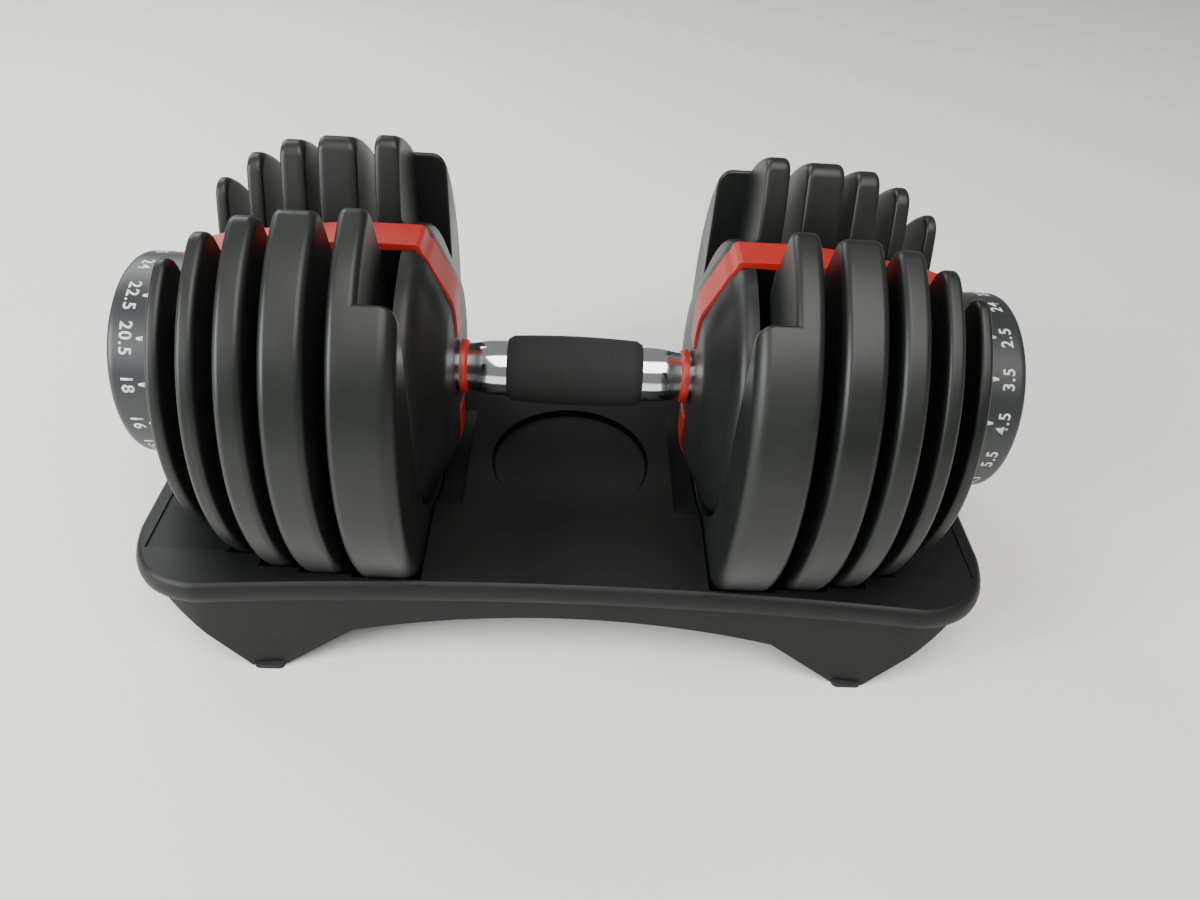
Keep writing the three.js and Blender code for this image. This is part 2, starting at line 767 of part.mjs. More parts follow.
/** The tray's rim and top sheet, hollow underneath. */
function trayTop() {
  const bevel = {
    depth: TRAY_TOP - TRAY_SEAM - TRAY_EDGE,
    bevelEnabled: true,
    bevelThickness: TRAY_EDGE,
    bevelSize: TRAY_EDGE,
    bevelSegments: 2,
    curveSegments: 8,
  };
  const far = 2 * TRAY_HALF_LENGTH;
  const shape = new THREE.ExtrudeGeometry(trayOutline(TRAY_EDGE), bevel);
  shape.translate(0, 0, TRAY_SEAM);
  const above = box([-far, -far, TRAY_SEAM], [far, far, TRAY_TOP]);
  const hollow = extrudeZ(trayOutline(TRAY_WALL + 1), TRAY_SEAM - 1, TRAY_UNDER);
  return solid(shape).intersect(above).subtract(hollow);
}

function tray() {
  const far = 2 * TRAY_HALF_LENGTH;
  const under = box([-far, -far, 0.4], [far, far, TRAY_TOP - 1]);
  let body = trayTop().subtract(bothEnds(deckRoom()));
  body = body.add(bothEnds(well(TRAY_WALL).intersect(under)));
  body = body.add(screwBosses());
  body = body.subtract(bothEnds(well(0)));
  body = body.add(bothEnds(wellRibs()));
  const recess = cylinderZ(0, 0, TRAY_TOP - RECESS_DEPTH, TRAY_TOP + 1, RECESS_RADIUS, MIDDLE_SEGMENTS);
  return body.subtract(recess).subtract(screwHoles(TRAY_SEAM - 1));
}

/** Places of the screws that hold the tray to the stand. */
function screwPlaces() {
  const places = [];
  for (const side of [-1, 1]) {
    for (const end of [-1, 1]) places.push([end * STAND_SCREW_X, side * STAND_SCREW_Y]);
  }
  return places;
}

function screwBosses() {
  let bosses = null;
  for (const [x, y] of screwPlaces()) {
    const boss = cylinderZ(x, y, TRAY_SEAM, TRAY_UNDER + 1, SCREW_BOSS, 16);
    bosses = bosses ? bosses.add(boss) : boss;
  }
  return bosses;
}

/** Holes for the stand screws, from a height up into the tray's bosses. */
function screwHoles(from) {
  let holes = null;
  const radius = STAND_SCREW_RADIUS + CLEARANCE;
  const top = TRAY_UNDER + 2 * CLEARANCE;
  for (const [x, y] of screwPlaces()) {
    const hole = cylinderZ(x, y, from, top, radius, 16);
    holes = holes ? holes.add(hole) : hole;
  }
  return holes;
}

function centreDisc() {
  const z = TRAY_TOP - RECESS_DEPTH + CLEARANCE;
  return cylinderZ(0, 0, z, z + DISC_PLATE_THICKNESS, RECESS_RADIUS - 1, MIDDLE_SEGMENTS);
}

// ---- Stand ----

/** Ends of the stand seen from the front: sloping in towards the feet. */
function standEnds(inset, bottom, top) {
  const topHalf = TRAY_HALF_LENGTH - STAND_INSET - 18 - inset;
  return polygon([
    [-topHalf, top],
    [-FOOT_OUTER + inset, bottom],
    [FOOT_OUTER - inset, bottom],
    [topHalf, top],
  ]);
}

/** Sides of the stand: the tray's outline, spread towards the feet. */
function standSides(inset, bottom, top) {
  const depth = { depth: top - bottom, bevelEnabled: false, curveSegments: 8 };
  const geometry = new THREE.ExtrudeGeometry(trayOutline(STAND_INSET + inset), depth);
  const spread = (FOOT_SPREAD - inset) / (TRAY_HALF_DEPTH - STAND_INSET - inset);
  const position = geometry.attributes.position;
  for (let i = 0; i < position.count; i++) {
    const low = position.getZ(i) < 1e-6;
    if (low) position.setY(i, position.getY(i) * spread);
  }
  geometry.translate(0, 0, bottom);
  return solid(geometry);
}

/** The stand's outer form without its arches, or the same drawn in by a wall. */
function standForm(inset, bottom, top) {
  const far = 2 * TRAY_HALF_LENGTH;
  const ends = extrudeY(standEnds(inset, bottom, top), -far, far);
  return standSides(inset, bottom, top).intersect(ends);
}

/** The arch between the legs, seen from the front. */
function frontArch() {
  const low = -1;
  const shape = new THREE.Shape();
  shape.moveTo(-FOOT_INNER, low);
  shape.lineTo(-FOOT_INNER, PAD_THICKNESS);
  shape.lineTo(-ARCH_SHOULDER, ARCH_SHOULDER_HEIGHT);
  const control = 2 * ARCH_HEIGHT - ARCH_SHOULDER_HEIGHT;
  shape.quadraticCurveTo(0, control, ARCH_SHOULDER, ARCH_SHOULDER_HEIGHT);
  shape.lineTo(FOOT_INNER, PAD_THICKNESS);
  shape.lineTo(FOOT_INNER, low);
  const far = 2 * FOOT_SPREAD;
  return extrudeY(shape, -far, far, 16);
}

/** The arch between the legs, seen from the end. */
function endArch() {
  const low = -1;
  const half = FOOT_SPREAD - FOOT_LENGTH;
  const shape = new THREE.Shape();
  shape.moveTo(-half, low);
  shape.lineTo(-half, PAD_THICKNESS);
  shape.quadraticCurveTo(0, 2 * END_ARCH_HEIGHT - PAD_THICKNESS, half, PAD_THICKNESS);
  shape.lineTo(half, low);
  const far = 2 * TRAY_HALF_LENGTH;
  return extrudeX(shape, -far, far, 16);
}

function stand() {
  const bottom = PAD_THICKNESS + CLEARANCE;
  const top = TRAY_SEAM - CLEARANCE;
  const under = top - STAND_FLANGE;
  let body = standForm(0, bottom, top);
  body = body.subtract(standForm(STAND_WALL, bottom - 1, top).trimByPlane([0, 0, -1], -under));
  body = body.subtract(frontArch()).subtract(endArch());
  body = body.subtract(bothEnds(well(TRAY_WALL + 3 * CLEARANCE)));
  const room = TRAY_HALF_DEPTH - TRAY_WAIST - STAND_INSET - 3 * STAND_WALL;
  const middle = box([-GUARD_FACE, -room, 0], [GUARD_FACE, room, TRAY_SEAM]);
  return body.subtract(middle).subtract(screwHoles(0)).add(footSoles());
}

/** Places of the four feet. */
function footPlaces() {
  const x = (FOOT_OUTER + FOOT_INNER) / 2;
  const y = FOOT_SPREAD - FOOT_LENGTH / 2;
  return [
    [x, -y],
    [x, y],
    [-x, y],
    [-x, -y],
  ];
}

/** Closed soles that the rubber pads sit under. */
function footSoles() {
  const bottom = PAD_THICKNESS + CLEARANCE;
  const form = standForm(0, bottom, TRAY_SEAM - CLEARANCE);
  let soles = null;
  for (const [x, y] of footPlaces()) {
    const half = [(FOOT_OUTER - FOOT_INNER) / 2 + 1, FOOT_LENGTH / 2 + 1];
    const block = box(
      [x - half[0], y - half[1], bottom],
      [x + half[0], y + half[1], bottom + STAND_WALL],
    );
    soles = soles ? soles.add(block) : block;
  }
  return form.intersect(soles);
}

/** Rubber pad under a foot, flat on the floor. */
function footPad(x, y) {
  const half = [(FOOT_OUTER - FOOT_INNER) / 2 - 0.5, FOOT_LENGTH / 2 - 0.5];
  const corner = 3;
  const shape = new THREE.Shape();
  shape.moveTo(x - half[0] + corner, y - half[1]);
  shape.lineTo(x + half[0] - corner, y - half[1]);
  shape.quadraticCurveTo(x + half[0], y - half[1], x + half[0], y - half[1] + corner);
  shape.lineTo(x + half[0], y + half[1] - corner);
  shape.quadraticCurveTo(x + half[0], y + half[1], x + half[0] - corner, y + half[1]);
  shape.lineTo(x - half[0] + corner, y + half[1]);
  shape.quadraticCurveTo(x - half[0], y + half[1], x - half[0], y + half[1] - corner);
  shape.lineTo(x - half[0], y - half[1] + corner);
  shape.quadraticCurveTo(x - half[0], y - half[1], x - half[0] + corner, y - half[1]);
  return extrudeZ(shape, 0, PAD_THICKNESS, 3);
}

/** Screw from under the stand's top plate up into a boss of the tray. */
function standScrew(x, y) {
  const seat = TRAY_SEAM - CLEARANCE - STAND_FLANGE - CLEARANCE;
  const head = cylinderZ(x, y, seat - 3, seat, STAND_SCREW_HEAD, 16);
  const shank = cylinderZ(x, y, seat - 1, TRAY_UNDER, STAND_SCREW_RADIUS, 16);
  const slotCut = box(
    [x - STAND_SCREW_HEAD, y - 0.6, seat - 4],
    [x + STAND_SCREW_HEAD, y + 0.6, seat - 2],
  );
  return head.add(shank).subtract(slotCut);
}

// ---- Assembly ----

const MATERIALS = {
  plateBlack: [0x303235, 0.5, 0],
  trayBlack: [0x2b2d30, 0.55, 0],
  guardGrey: [0x3e4044, 0.5, 0],
  selectorBlack: [0x26282a, 0.5, 0],
  gripRubber: [0x1c1d1f, 0.8, 0],
  chrome: [0xd8dadc, 0.12, 1],
  red: [0xb02a22, 0.45, 0],
  steel: [0x8c8f94, 0.35, 1],
  padRubber: [0x18191a, 0.9, 0],
};

/** A finish as a three.js material. */
function material(name) {
  const [color, roughness, metalness] = MATERIALS[name];
  return new THREE.MeshStandardMaterial({ name, color, roughness, metalness });
}

const dumbbell = new THREE.Group();
const ends = { right: new THREE.Group(), left: new THREE.Group() };
ends.left.rotation.z = Math.PI;
dumbbell.add(ends.right, ends.left);

/** Adds a solid as a named mesh. */
function add(group, name, body, finish) {
  const mesh = new THREE.Mesh(geometryOf(body), material(finish));
  mesh.name = name;
  group.add(mesh);
}

add(dumbbell, "tray_shell", tray(), "trayBlack");
add(dumbbell, "centre_disc", centreDisc(), "trayBlack");
add(dumbbell, "stand_skirt", stand(), "trayBlack");
footPlaces().forEach(([x, y], i) => {
  add(dumbbell, `foot_pad_${i + 1}`, footPad(x, y), "padRubber");
});
screwPlaces().forEach(([x, y], i) => {
  add(dumbbell, `stand_screw_${i + 1}`, standScrew(x, y), "steel");
});
add(dumbbell, "handle_tube", onAxis(handleTube()), "chrome");
add(dumbbell, "grip_sleeve", onAxis(gripSleeve()), "gripRubber");
add(dumbbell, "core_rod", onAxis(coreRod()), "steel");

for (const [side, group] of Object.entries(ends)) {
  add(group, `guard_${side}`, guard(), "guardGrey");
  add(group, `bridge_${side}`, bridge(), "red");
  add(group, `tongue_${side}`, tongue(), "red");
  add(group, `tube_collar_${side}`, tubeCollar(), "red");
  add(group, `detent_plunger_${side}`, detentPlunger(), "steel");
  add(group, `detent_spring_${side}`, detentSpring(), "steel");
  add(group, `selector_sleeve_${side}`, selectorSleeve(), "selectorBlack");
  add(group, `dial_${side}`, dial(), "selectorBlack");
  add(group, `dial_cap_${side}`, dialCap(), "selectorBlack");
  add(group, `dial_screw_${side}`, dialScrew(), "steel");
  PLATE_THICKNESS.forEach((_, i) => {
    add(group, `plate_${i + 1}_${side}`, plate(i), "plateBlack");
    add(group, `selector_disc_${i + 1}_${side}`, selectorDisc(i), "selectorBlack");
  });
}

export default dumbbell;
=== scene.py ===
"""Looks of the adjustable dumbbell on its storage tray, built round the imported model.

Sizes are in millimetres in the row's frame (+X along the handle, +Y to the back, +Z up) and are
turned to metres when a piece is made. Each sub-assembly is a class: its fields are its sizes and
its methods mould, dress and seat its pieces.
"""

from __future__ import annotations

import logging
import math
from collections.abc import Callable, Sequence
from dataclasses import dataclass, field
from enum import Enum

import bmesh
import bpy
from mathutils import Matrix, Vector


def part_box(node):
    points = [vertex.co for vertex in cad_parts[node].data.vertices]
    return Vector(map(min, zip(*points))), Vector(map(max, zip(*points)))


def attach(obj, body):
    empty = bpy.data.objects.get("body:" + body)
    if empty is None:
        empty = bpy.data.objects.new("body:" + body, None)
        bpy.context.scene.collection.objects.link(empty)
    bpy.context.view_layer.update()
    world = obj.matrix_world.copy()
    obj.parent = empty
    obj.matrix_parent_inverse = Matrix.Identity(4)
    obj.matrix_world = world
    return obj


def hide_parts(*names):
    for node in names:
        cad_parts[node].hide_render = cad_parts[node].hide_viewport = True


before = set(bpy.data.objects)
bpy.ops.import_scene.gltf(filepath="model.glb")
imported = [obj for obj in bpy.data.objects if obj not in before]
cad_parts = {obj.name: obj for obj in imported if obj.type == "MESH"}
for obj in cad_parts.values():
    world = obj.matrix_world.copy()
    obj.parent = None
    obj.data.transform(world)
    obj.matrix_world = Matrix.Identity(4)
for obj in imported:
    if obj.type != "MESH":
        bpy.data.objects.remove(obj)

LOG = logging.getLogger("dumbbell")
MM = 0.001
SHARP = math.radians(28)  # edges sharper than this are rounded
FAR = 250.0  # past everything, in mm
CREASE = math.radians(40)  # and on a piece that isn't rounded, these shade as creases
Profile = list[tuple[float, float]]


class Side(Enum):
    """The two ends of the dumbbell: the left one is the right one turned half a turn about Z."""

    RIGHT = "right"
    LEFT = "left"

    @property
    def turn(self) -> Matrix:
        """The turn that carries the right end to this one."""
        return Matrix.Rotation(math.pi if self is Side.LEFT else 0.0, 4, "Z")


class Join(Enum):
    """How one blank acts on another."""

    CUT = "DIFFERENCE"
    ADD = "UNION"
    KEEP = "INTERSECT"


# ---- Finishes ----


def linear(hex_colour: str) -> tuple[float, float, float, float]:
    """Turns an sRGB hex colour to linear.

    Args:
        hex_colour: six hex digits.

    Returns:
        Linear red, green, blue and full alpha.
    """
    channels = [int(hex_colour[i : i + 2], 16) / 255 for i in (0, 2, 4)]
    red, green, blue = (
        c / 12.92 if c <= 0.04045 else ((c + 0.055) / 1.055) ** 2.4 for c in channels
    )
    return red, green, blue, 1.0


def add_node(
    tree: bpy.types.NodeTree,
    kind: str,
    sockets: dict[str | int, object] | None = None,
    **settings: object,
) -> bpy.types.Node:
    """Adds a node with its settings and links.

    Args:
        tree: the node tree.
        kind: the node's type.
        sockets: input name or number to a value, or to the output that feeds it.
        settings: the node's own properties.

    Returns:
        The new node.
    """
    node = tree.nodes.new(kind)
    for name, value in settings.items():
        setattr(node, name, value)
    for name, value in (sockets or {}).items():
        if isinstance(value, bpy.types.NodeSocket):
            tree.links.new(value, node.inputs[name])
        else:
            node.inputs[name].default_value = value
    return node


@dataclass(frozen=True)
class Finish:
    """A material and how its surface was made.

    Attributes:
        name: the real material and process.
        colour: sRGB hex colour.
        shade: sRGB hex colour of its slightly different patches.
        roughness: middle roughness.
        roughness_swing: how far the roughness wanders either side.
        metallic: 0 for plastics and rubber, 1 for metals.
        ior: index of refraction, or 0 to keep the default.
        grain_mm: size of the surface grain.
        grain_depth_mm: how deep the grain is.
        patch_mm: size of the patches of tone and gloss.
        stretch: how the grain is stretched along X, Y and Z.
    """

    name: str
    colour: str
    shade: str
    roughness: float
    roughness_swing: float = 0.05
    metallic: float = 0.0
    ior: float = 0.0
    grain_mm: float = 0.8
    grain_depth_mm: float = 0.02
    patch_mm: float = 40.0
    stretch: tuple[float, float, float] = (1.0, 1.0, 1.0)

    def make(self) -> bpy.types.Material:
        """Makes the material, once.

        Returns:
            The Blender material of this finish.
        """
        known = bpy.data.materials.get(self.name)
        if known:
            return known
        material = bpy.data.materials.new(self.name)
        material.use_nodes = True
        tree = material.node_tree
        tree.nodes.clear()
        place = add_node(tree, "ShaderNodeTexCoord").outputs["Object"]
        patches = add_node(
            tree,
            "ShaderNodeTexNoise",
            {"Vector": place, "Scale": 1 / (self.patch_mm * MM), "Detail": 3.0},
        ).outputs["Fac"]
        laid = add_node(
            tree, "ShaderNodeMapping", {"Vector": place, "Scale": self.stretch}
        ).outputs["Vector"]
        grain = add_node(
            tree,
            "ShaderNodeTexNoise",
            {"Vector": laid, "Scale": 1 / (self.grain_mm * MM), "Detail": 2.0},
        ).outputs["Fac"]
        colour = self.tone(tree, place, patches, grain)
        rough = add_node(
            tree,
            "ShaderNodeMapRange",
            {
                "Value": patches,
                "From Min": 0.3,
                "From Max": 0.7,
                "To Min": self.roughness - self.roughness_swing,
                "To Max": self.roughness + self.roughness_swing,
            },
        ).outputs["Result"]
        bump = add_node(
            tree,
            "ShaderNodeBump",
            {"Height": grain, "Strength": 1.0, "Distance": self.grain_depth_mm * MM},
        ).outputs["Normal"]
        shader = add_node(
            tree,
            "ShaderNodeBsdfPrincipled",
            {"Base Color": colour, "Roughness": rough, "Normal": bump, "Metallic": self.metallic},
        )
        if self.ior:
            shader.inputs["IOR"].default_value = self.ior
        add_node(tree, "ShaderNodeOutputMaterial", {"Surface": shader.outputs[0]})
        return material

    def tone(
        self,
        tree: bpy.types.NodeTree,
        place: bpy.types.NodeSocket,
        patches: bpy.types.NodeSocket,
        grain: bpy.types.NodeSocket,
    ) -> bpy.types.NodeSocket:
        """Mixes the finish's two colours by its patches and grain.

        Args:
            tree: the node tree.
            place: object coordinates; not used.
            patches: the slow noise.
            grain: the fine noise.

        Returns:
            The colour output.
        """
        both = add_node(
            tree, "ShaderNodeMath", {0: patches, 1: grain}, operation="MULTIPLY"
        ).outputs[0]
        spread = add_node(
            tree, "ShaderNodeMapRange", {"Value": both, "From Min": 0.12, "From Max": 0.4}
        ).outputs["Result"]
        mixer = add_node(
            tree,
            "ShaderNodeMix",
            {"Factor": spread, 6: linear(self.colour), 7: linear(self.shade)},
            data_type="RGBA",
        )
        return mixer.outputs[2]


# Glass-filled nylon over steel, injection moulded in a spark-eroded mould: a deep grey-black with a
# soft wide sheen on every rounded rim. The grain is 0.3 mm on the real one, drawn coarser to show,
# and it swallows part of the sheen, so the index is set under the bulk resin's 1.53.
PLATE_SKIN = Finish(
    "nylon_moulded_plate_skin", "151716", "1C1E1D", 0.4, 0.05, ior=1.43, grain_mm=0.7
)
# ABS in a finer mould: the tray looks flatter and a little darker than the plates.
TRAY_SHELL = Finish(
    "ABS_moulded_tray", "0D0E0E", "121313", 0.5, 0.06, ior=1.38, grain_mm=0.7, patch_mm=70
)
# ABS with a grey masterbatch: the handle's domed ends read a shade lighter than the plates.
GUARD_GREY = Finish("ABS_moulded_grey_guard", "151616", "1D1E1E", 0.44, ior=1.42, grain_mm=0.7)
# ABS, fine grain: the dials' satin black that the printed numbers stand out from.
DIAL_BLACK = Finish("ABS_moulded_dial", "232527", "2B2D30", 0.4, ior=1.54, grain_mm=0.6)
# Dyed ABS: a strong warm red with a faint satin sheen.
STRAP_RED = Finish("ABS_moulded_red", "A82018", "961A14", 0.42, ior=1.54, grain_mm=0.7)
# Nitrile foam sleeve with an open skin: nearly black, with no clear highlight.
GRIP_FOAM = Finish(
    "nitrile_foam_grip", "141415", "1C1C1D", 0.82, 0.06, ior=1.52, grain_mm=1.1, grain_depth_mm=0.12
)
# Moulded rubber, dull and dark.
PAD_RUBBER = Finish("rubber_moulded_pad", "121213", "1A1A1B", 0.85, ior=1.52, grain_mm=0.9)
# Bright chromium plate over steel tube: a near mirror with faint polishing lines round the tube.
CHROME = Finish(
    "steel_chrome_plated_tube",
    "E2E4E6",
    "D6D8DB",
    0.09,
    0.03,
    metallic=1.0,
    grain_mm=0.5,
    grain_depth_mm=0.002,
    stretch=(6.0, 0.3, 0.3),
)
# Zinc-plated steel, turned and barrelled: a soft grey shine.
ZINC = Finish("steel_zinc_plated", "A9ACB0", "9A9DA2", 0.34, metallic=1.0, grain_depth_mm=0.006)
# Pad-printed ink: flat off-white, very slightly thinner in places.
PRINT_WHITE = Finish(
    "ink_pad_printed_white", "E9EAE8", "D5D7D6", 0.55, ior=1.5, grain_mm=0.5, grain_depth_mm=0.0
)
# Painted board: plain and pale, so that the shadows under the tray read softly.
FLOOR_PAINT = Finish(
    "board_painted_pale", "F2F2F0", "EEEFED", 0.6, 0.04, ior=1.5, grain_depth_mm=0.0, patch_mm=300
)


# ---- Mesh code ----


def tidied(metres: float) -> float:
    """Turns metres to millimetres, to a whole micrometre, so that no cut hangs on last digits."""
    return round(metres / MM, 3)


def span(node: str) -> tuple[float, float, float]:
    """Reads where a node stands at its end of the handle.

    Args:
        node: a round node.

    Returns:
        Its nearer and farther |x|, and its radius, in millimetres.
    """
    low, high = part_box(node)
    near, far = sorted((tidied(abs(low.x)), tidied(abs(high.x))))
    return near, far, tidied((high.y - low.y) / 2)


def top_of(node: str) -> float:
    """Height of a node's top, in millimetres."""
    return tidied(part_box(node)[1].z)


def set_out(name: str, data: bpy.types.ID) -> bpy.types.Object:
    """Makes an object for a mesh, lamp, curve or camera and puts it in the scene."""
    made = bpy.data.objects.new(name, data)
    bpy.context.scene.collection.objects.link(made)
    return made


def circle(radius: float, z: float, steps: int = 96) -> list[Vector]:
    """A level ring of points about Z."""
    turns = (2 * math.pi * i / steps for i in range(steps))
    return [Vector((radius * math.sin(turn), radius * math.cos(turn), z)) for turn in turns]


def clean(mesh: bmesh.types.BMesh) -> bmesh.types.BMesh:
    """Joins doubled points and faces everything outward.

    Args:
        mesh: the mesh to clean in place.

    Returns:
        The same mesh.
    """
    bmesh.ops.remove_doubles(mesh, verts=mesh.verts, dist=1e-4)
    bmesh.ops.dissolve_degenerate(mesh, edges=mesh.edges, dist=1e-5)
    bmesh.ops.recalc_face_normals(mesh, faces=mesh.faces)
    return mesh


def loft(rings: Sequence[Sequence[Vector]], closed: bool = False) -> bmesh.types.BMesh:
    """Skins a row of rings that have the same number of points.

    Args:
        rings: closed rings of points, in order.
        closed: whether the last ring joins the first, or else both ends are capped.

    Returns:
        The skinned mesh.
    """
    mesh = bmesh.new()
    rows = [[mesh.verts.new(point) for point in ring] for ring in rings]
    pairs = list(zip(rows, rows[1:]))
    if closed:
        pairs.append((rows[-1], rows[0]))
    for near, far in pairs:
        for i in range(len(near)):
            j = (i + 1) % len(near)
            mesh.faces.new((near[i], near[j], far[j], far[i]))
    if not closed:
        mesh.faces.new(list(reversed(rows[0])))
        mesh.faces.new(rows[-1])
    return clean(mesh)


def soften(line: Profile, rounds: int, reach: float = 0.25) -> Profile:
    """Cuts the corners off an open line again and again, which rounds it.

    Args:
        line: points of the line.
        rounds: how many times to cut.
        reach: how far along each stretch a cut starts.

    Returns:
        The rounded line, with the same ends.
    """
    for _ in range(rounds):
        cut: Profile = [line[0]]
        for (u0, v0), (u1, v1) in zip(line, line[1:]):
            cut.append((u0 + (u1 - u0) * reach, v0 + (v1 - v0) * reach))
            cut.append((u1 - (u1 - u0) * reach, v1 - (v1 - v0) * reach))
        cut.append(line[-1])
        line = cut
    return line


def beside(line: Profile, gap: float) -> Profile:
    """A line moved sideways, to the left of its run.

    Args:
        line: points of the line.
        gap: how far.

    Returns:
        The moved line.
    """
    moved: Profile = []
    for i, (u, v) in enumerate(line):
        before, after = line[max(0, i - 1)], line[min(len(line) - 1, i + 1)]
        run = Vector((after[0] - before[0], after[1] - before[1])).normalized()
        moved.append((u - run.y * gap, v + run.x * gap))
    return moved


def smooth_step(low: float, high: float, value: float) -> float:
    """How far value has come from low to high, easing in and out."""
    t = min(1.0, max(0.0, (value - low) / (high - low)))
    return t * t * (3 - 2 * t)


@dataclass
class Workshop:
    """Turns blanks into pieces of the dumbbell, about the handle's axis.

    Attributes:
        axis: height of the handle's axis.
        pieces: how many pieces have been made.
    """

    axis: float
    pieces: int = 0

    def turned(
        self,
        profile: Profile,
        steps: int = 128,
        shift: Callable[[float, float, float], float] | None = None,
    ) -> bmesh.types.BMesh:
        """Turns a closed profile about the handle's axis.

        Args:
            profile: (x, radius) points that close on themselves.
            steps: sides of the round.
            shift: gives how far out to move the point at a place across, a height and a radius.

        Returns:
            The turned blank.
        """
        rings = []
        for i in range(steps):
            angle = 2 * math.pi * i / steps
            ring = []
            for x, radius in profile:
                across, up = radius * math.sin(angle), radius * math.cos(angle)
                far = radius + (shift(across, up, radius) if shift else 0.0)
                ring.append(
                    Vector((x, far * math.sin(angle), self.axis + far * math.cos(angle)))
                )
            rings.append(ring)
        return loft(rings, closed=True)

    def run(self, outline: Profile, x0: float, x1: float) -> bmesh.types.BMesh:
        """Runs an outline in Y and Z, about the axis, from x0 to x1."""
        ends = [[Vector((x, y, self.axis + z)) for y, z in outline] for x in (x0, x1)]
        return loft(ends)

    def blank(self, mesh: bmesh.types.BMesh, name: str = "blank") -> bpy.types.Object:
        """Puts a mesh in the scene, in millimetres, to be cut or joined."""
        data = bpy.data.meshes.new(name)
        mesh.to_mesh(data)
        mesh.free()
        return set_out(name, data)

    def work(
        self, target: bpy.types.Object, tool: bpy.types.Object, how: Join
    ) -> bpy.types.Object:
        """Cuts or joins a blank with another, which is used up.

        Args:
            target: the blank that is changed.
            tool: the other blank.
            how: what to do.

        Returns:
            The changed blank.
        """
        step = target.modifiers.new("work", "BOOLEAN")
        step.solver = "EXACT"
        step.operation = how.value
        step.object = tool
        self.settle(target)
        bpy.data.objects.remove(tool)
        return target

    def settle(self, target: bpy.types.Object) -> None:
        """Applies a blank's modifiers to its mesh."""
        seen = target.evaluated_get(bpy.context.evaluated_depsgraph_get())
        data = bpy.data.meshes.new_from_object(seen)
        target.modifiers.clear()
        target.data = data

    def piece(
        self,
        blank: bpy.types.Object | bmesh.types.BMesh,
        name: str,
        finish: Finish,
        body: str,
        replaces: Sequence[str] = (),
        side: Side = Side.RIGHT,
        round_mm: float = 0.0,
        segments: int = 3,
    ) -> bpy.types.Object:
        """Finishes a blank: rounds its edges, dresses it and seats it on its body.

        Args:
            blank: the shape, in millimetres at the right-hand end.
            name: the piece's name.
            finish: its finish.
            body: the body that it moves with.
            replaces: the CAD nodes that it stands for.
            side: the end that it belongs to.
            round_mm: radius of its rounded edges.
            segments: facets across a rounded edge.

        Returns:
            The finished piece.
        """
        made = blank if isinstance(blank, bpy.types.Object) else self.blank(blank, name)
        made.name = made.data.name = name
        mesh = bmesh.new()
        mesh.from_mesh(made.data)
        clean(mesh)
        if round_mm:
            marks = mesh.edges.layers.float.new("bevel_weight_edge")
            for edge in mesh.edges:
                if len(edge.link_faces) == 2 and edge.calc_face_angle() > SHARP:
                    edge[marks] = 1.0
        mesh.transform(side.turn @ Matrix.Scale(MM, 4))
        for face in mesh.faces:
            face.smooth = True
        mesh.to_mesh(made.data)
        mesh.free()
        if round_mm:
            edges = made.modifiers.new("rounded_edges", "BEVEL")
            edges.limit_method = "WEIGHT"
            edges.width = round_mm * MM
            edges.segments = segments
            edges.use_clamp_overlap = True
            edges.harden_normals = False
        else:
            made.data.set_sharp_from_angle(angle=CREASE)
        flat = made.modifiers.new("flat_faces", "WEIGHTED_NORMAL")
        flat.keep_sharp = True
        flat.weight = 100
        made.data.materials.clear()
        made.data.materials.append(finish.make())
        if replaces:
            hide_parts(*replaces)
        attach(made, body)
        self.pieces += 1
        LOG.info("%s: %s on %s", name, finish.name, body)
        return made


# ---- Plates ----


def fillet(gone: float, radius: float) -> float:
    """How far a rounded edge draws in at a distance past its face."""
    if gone >= radius:
        return 0.0
    return radius - math.sqrt(max(0.0, radius**2 - (radius - gone) ** 2))


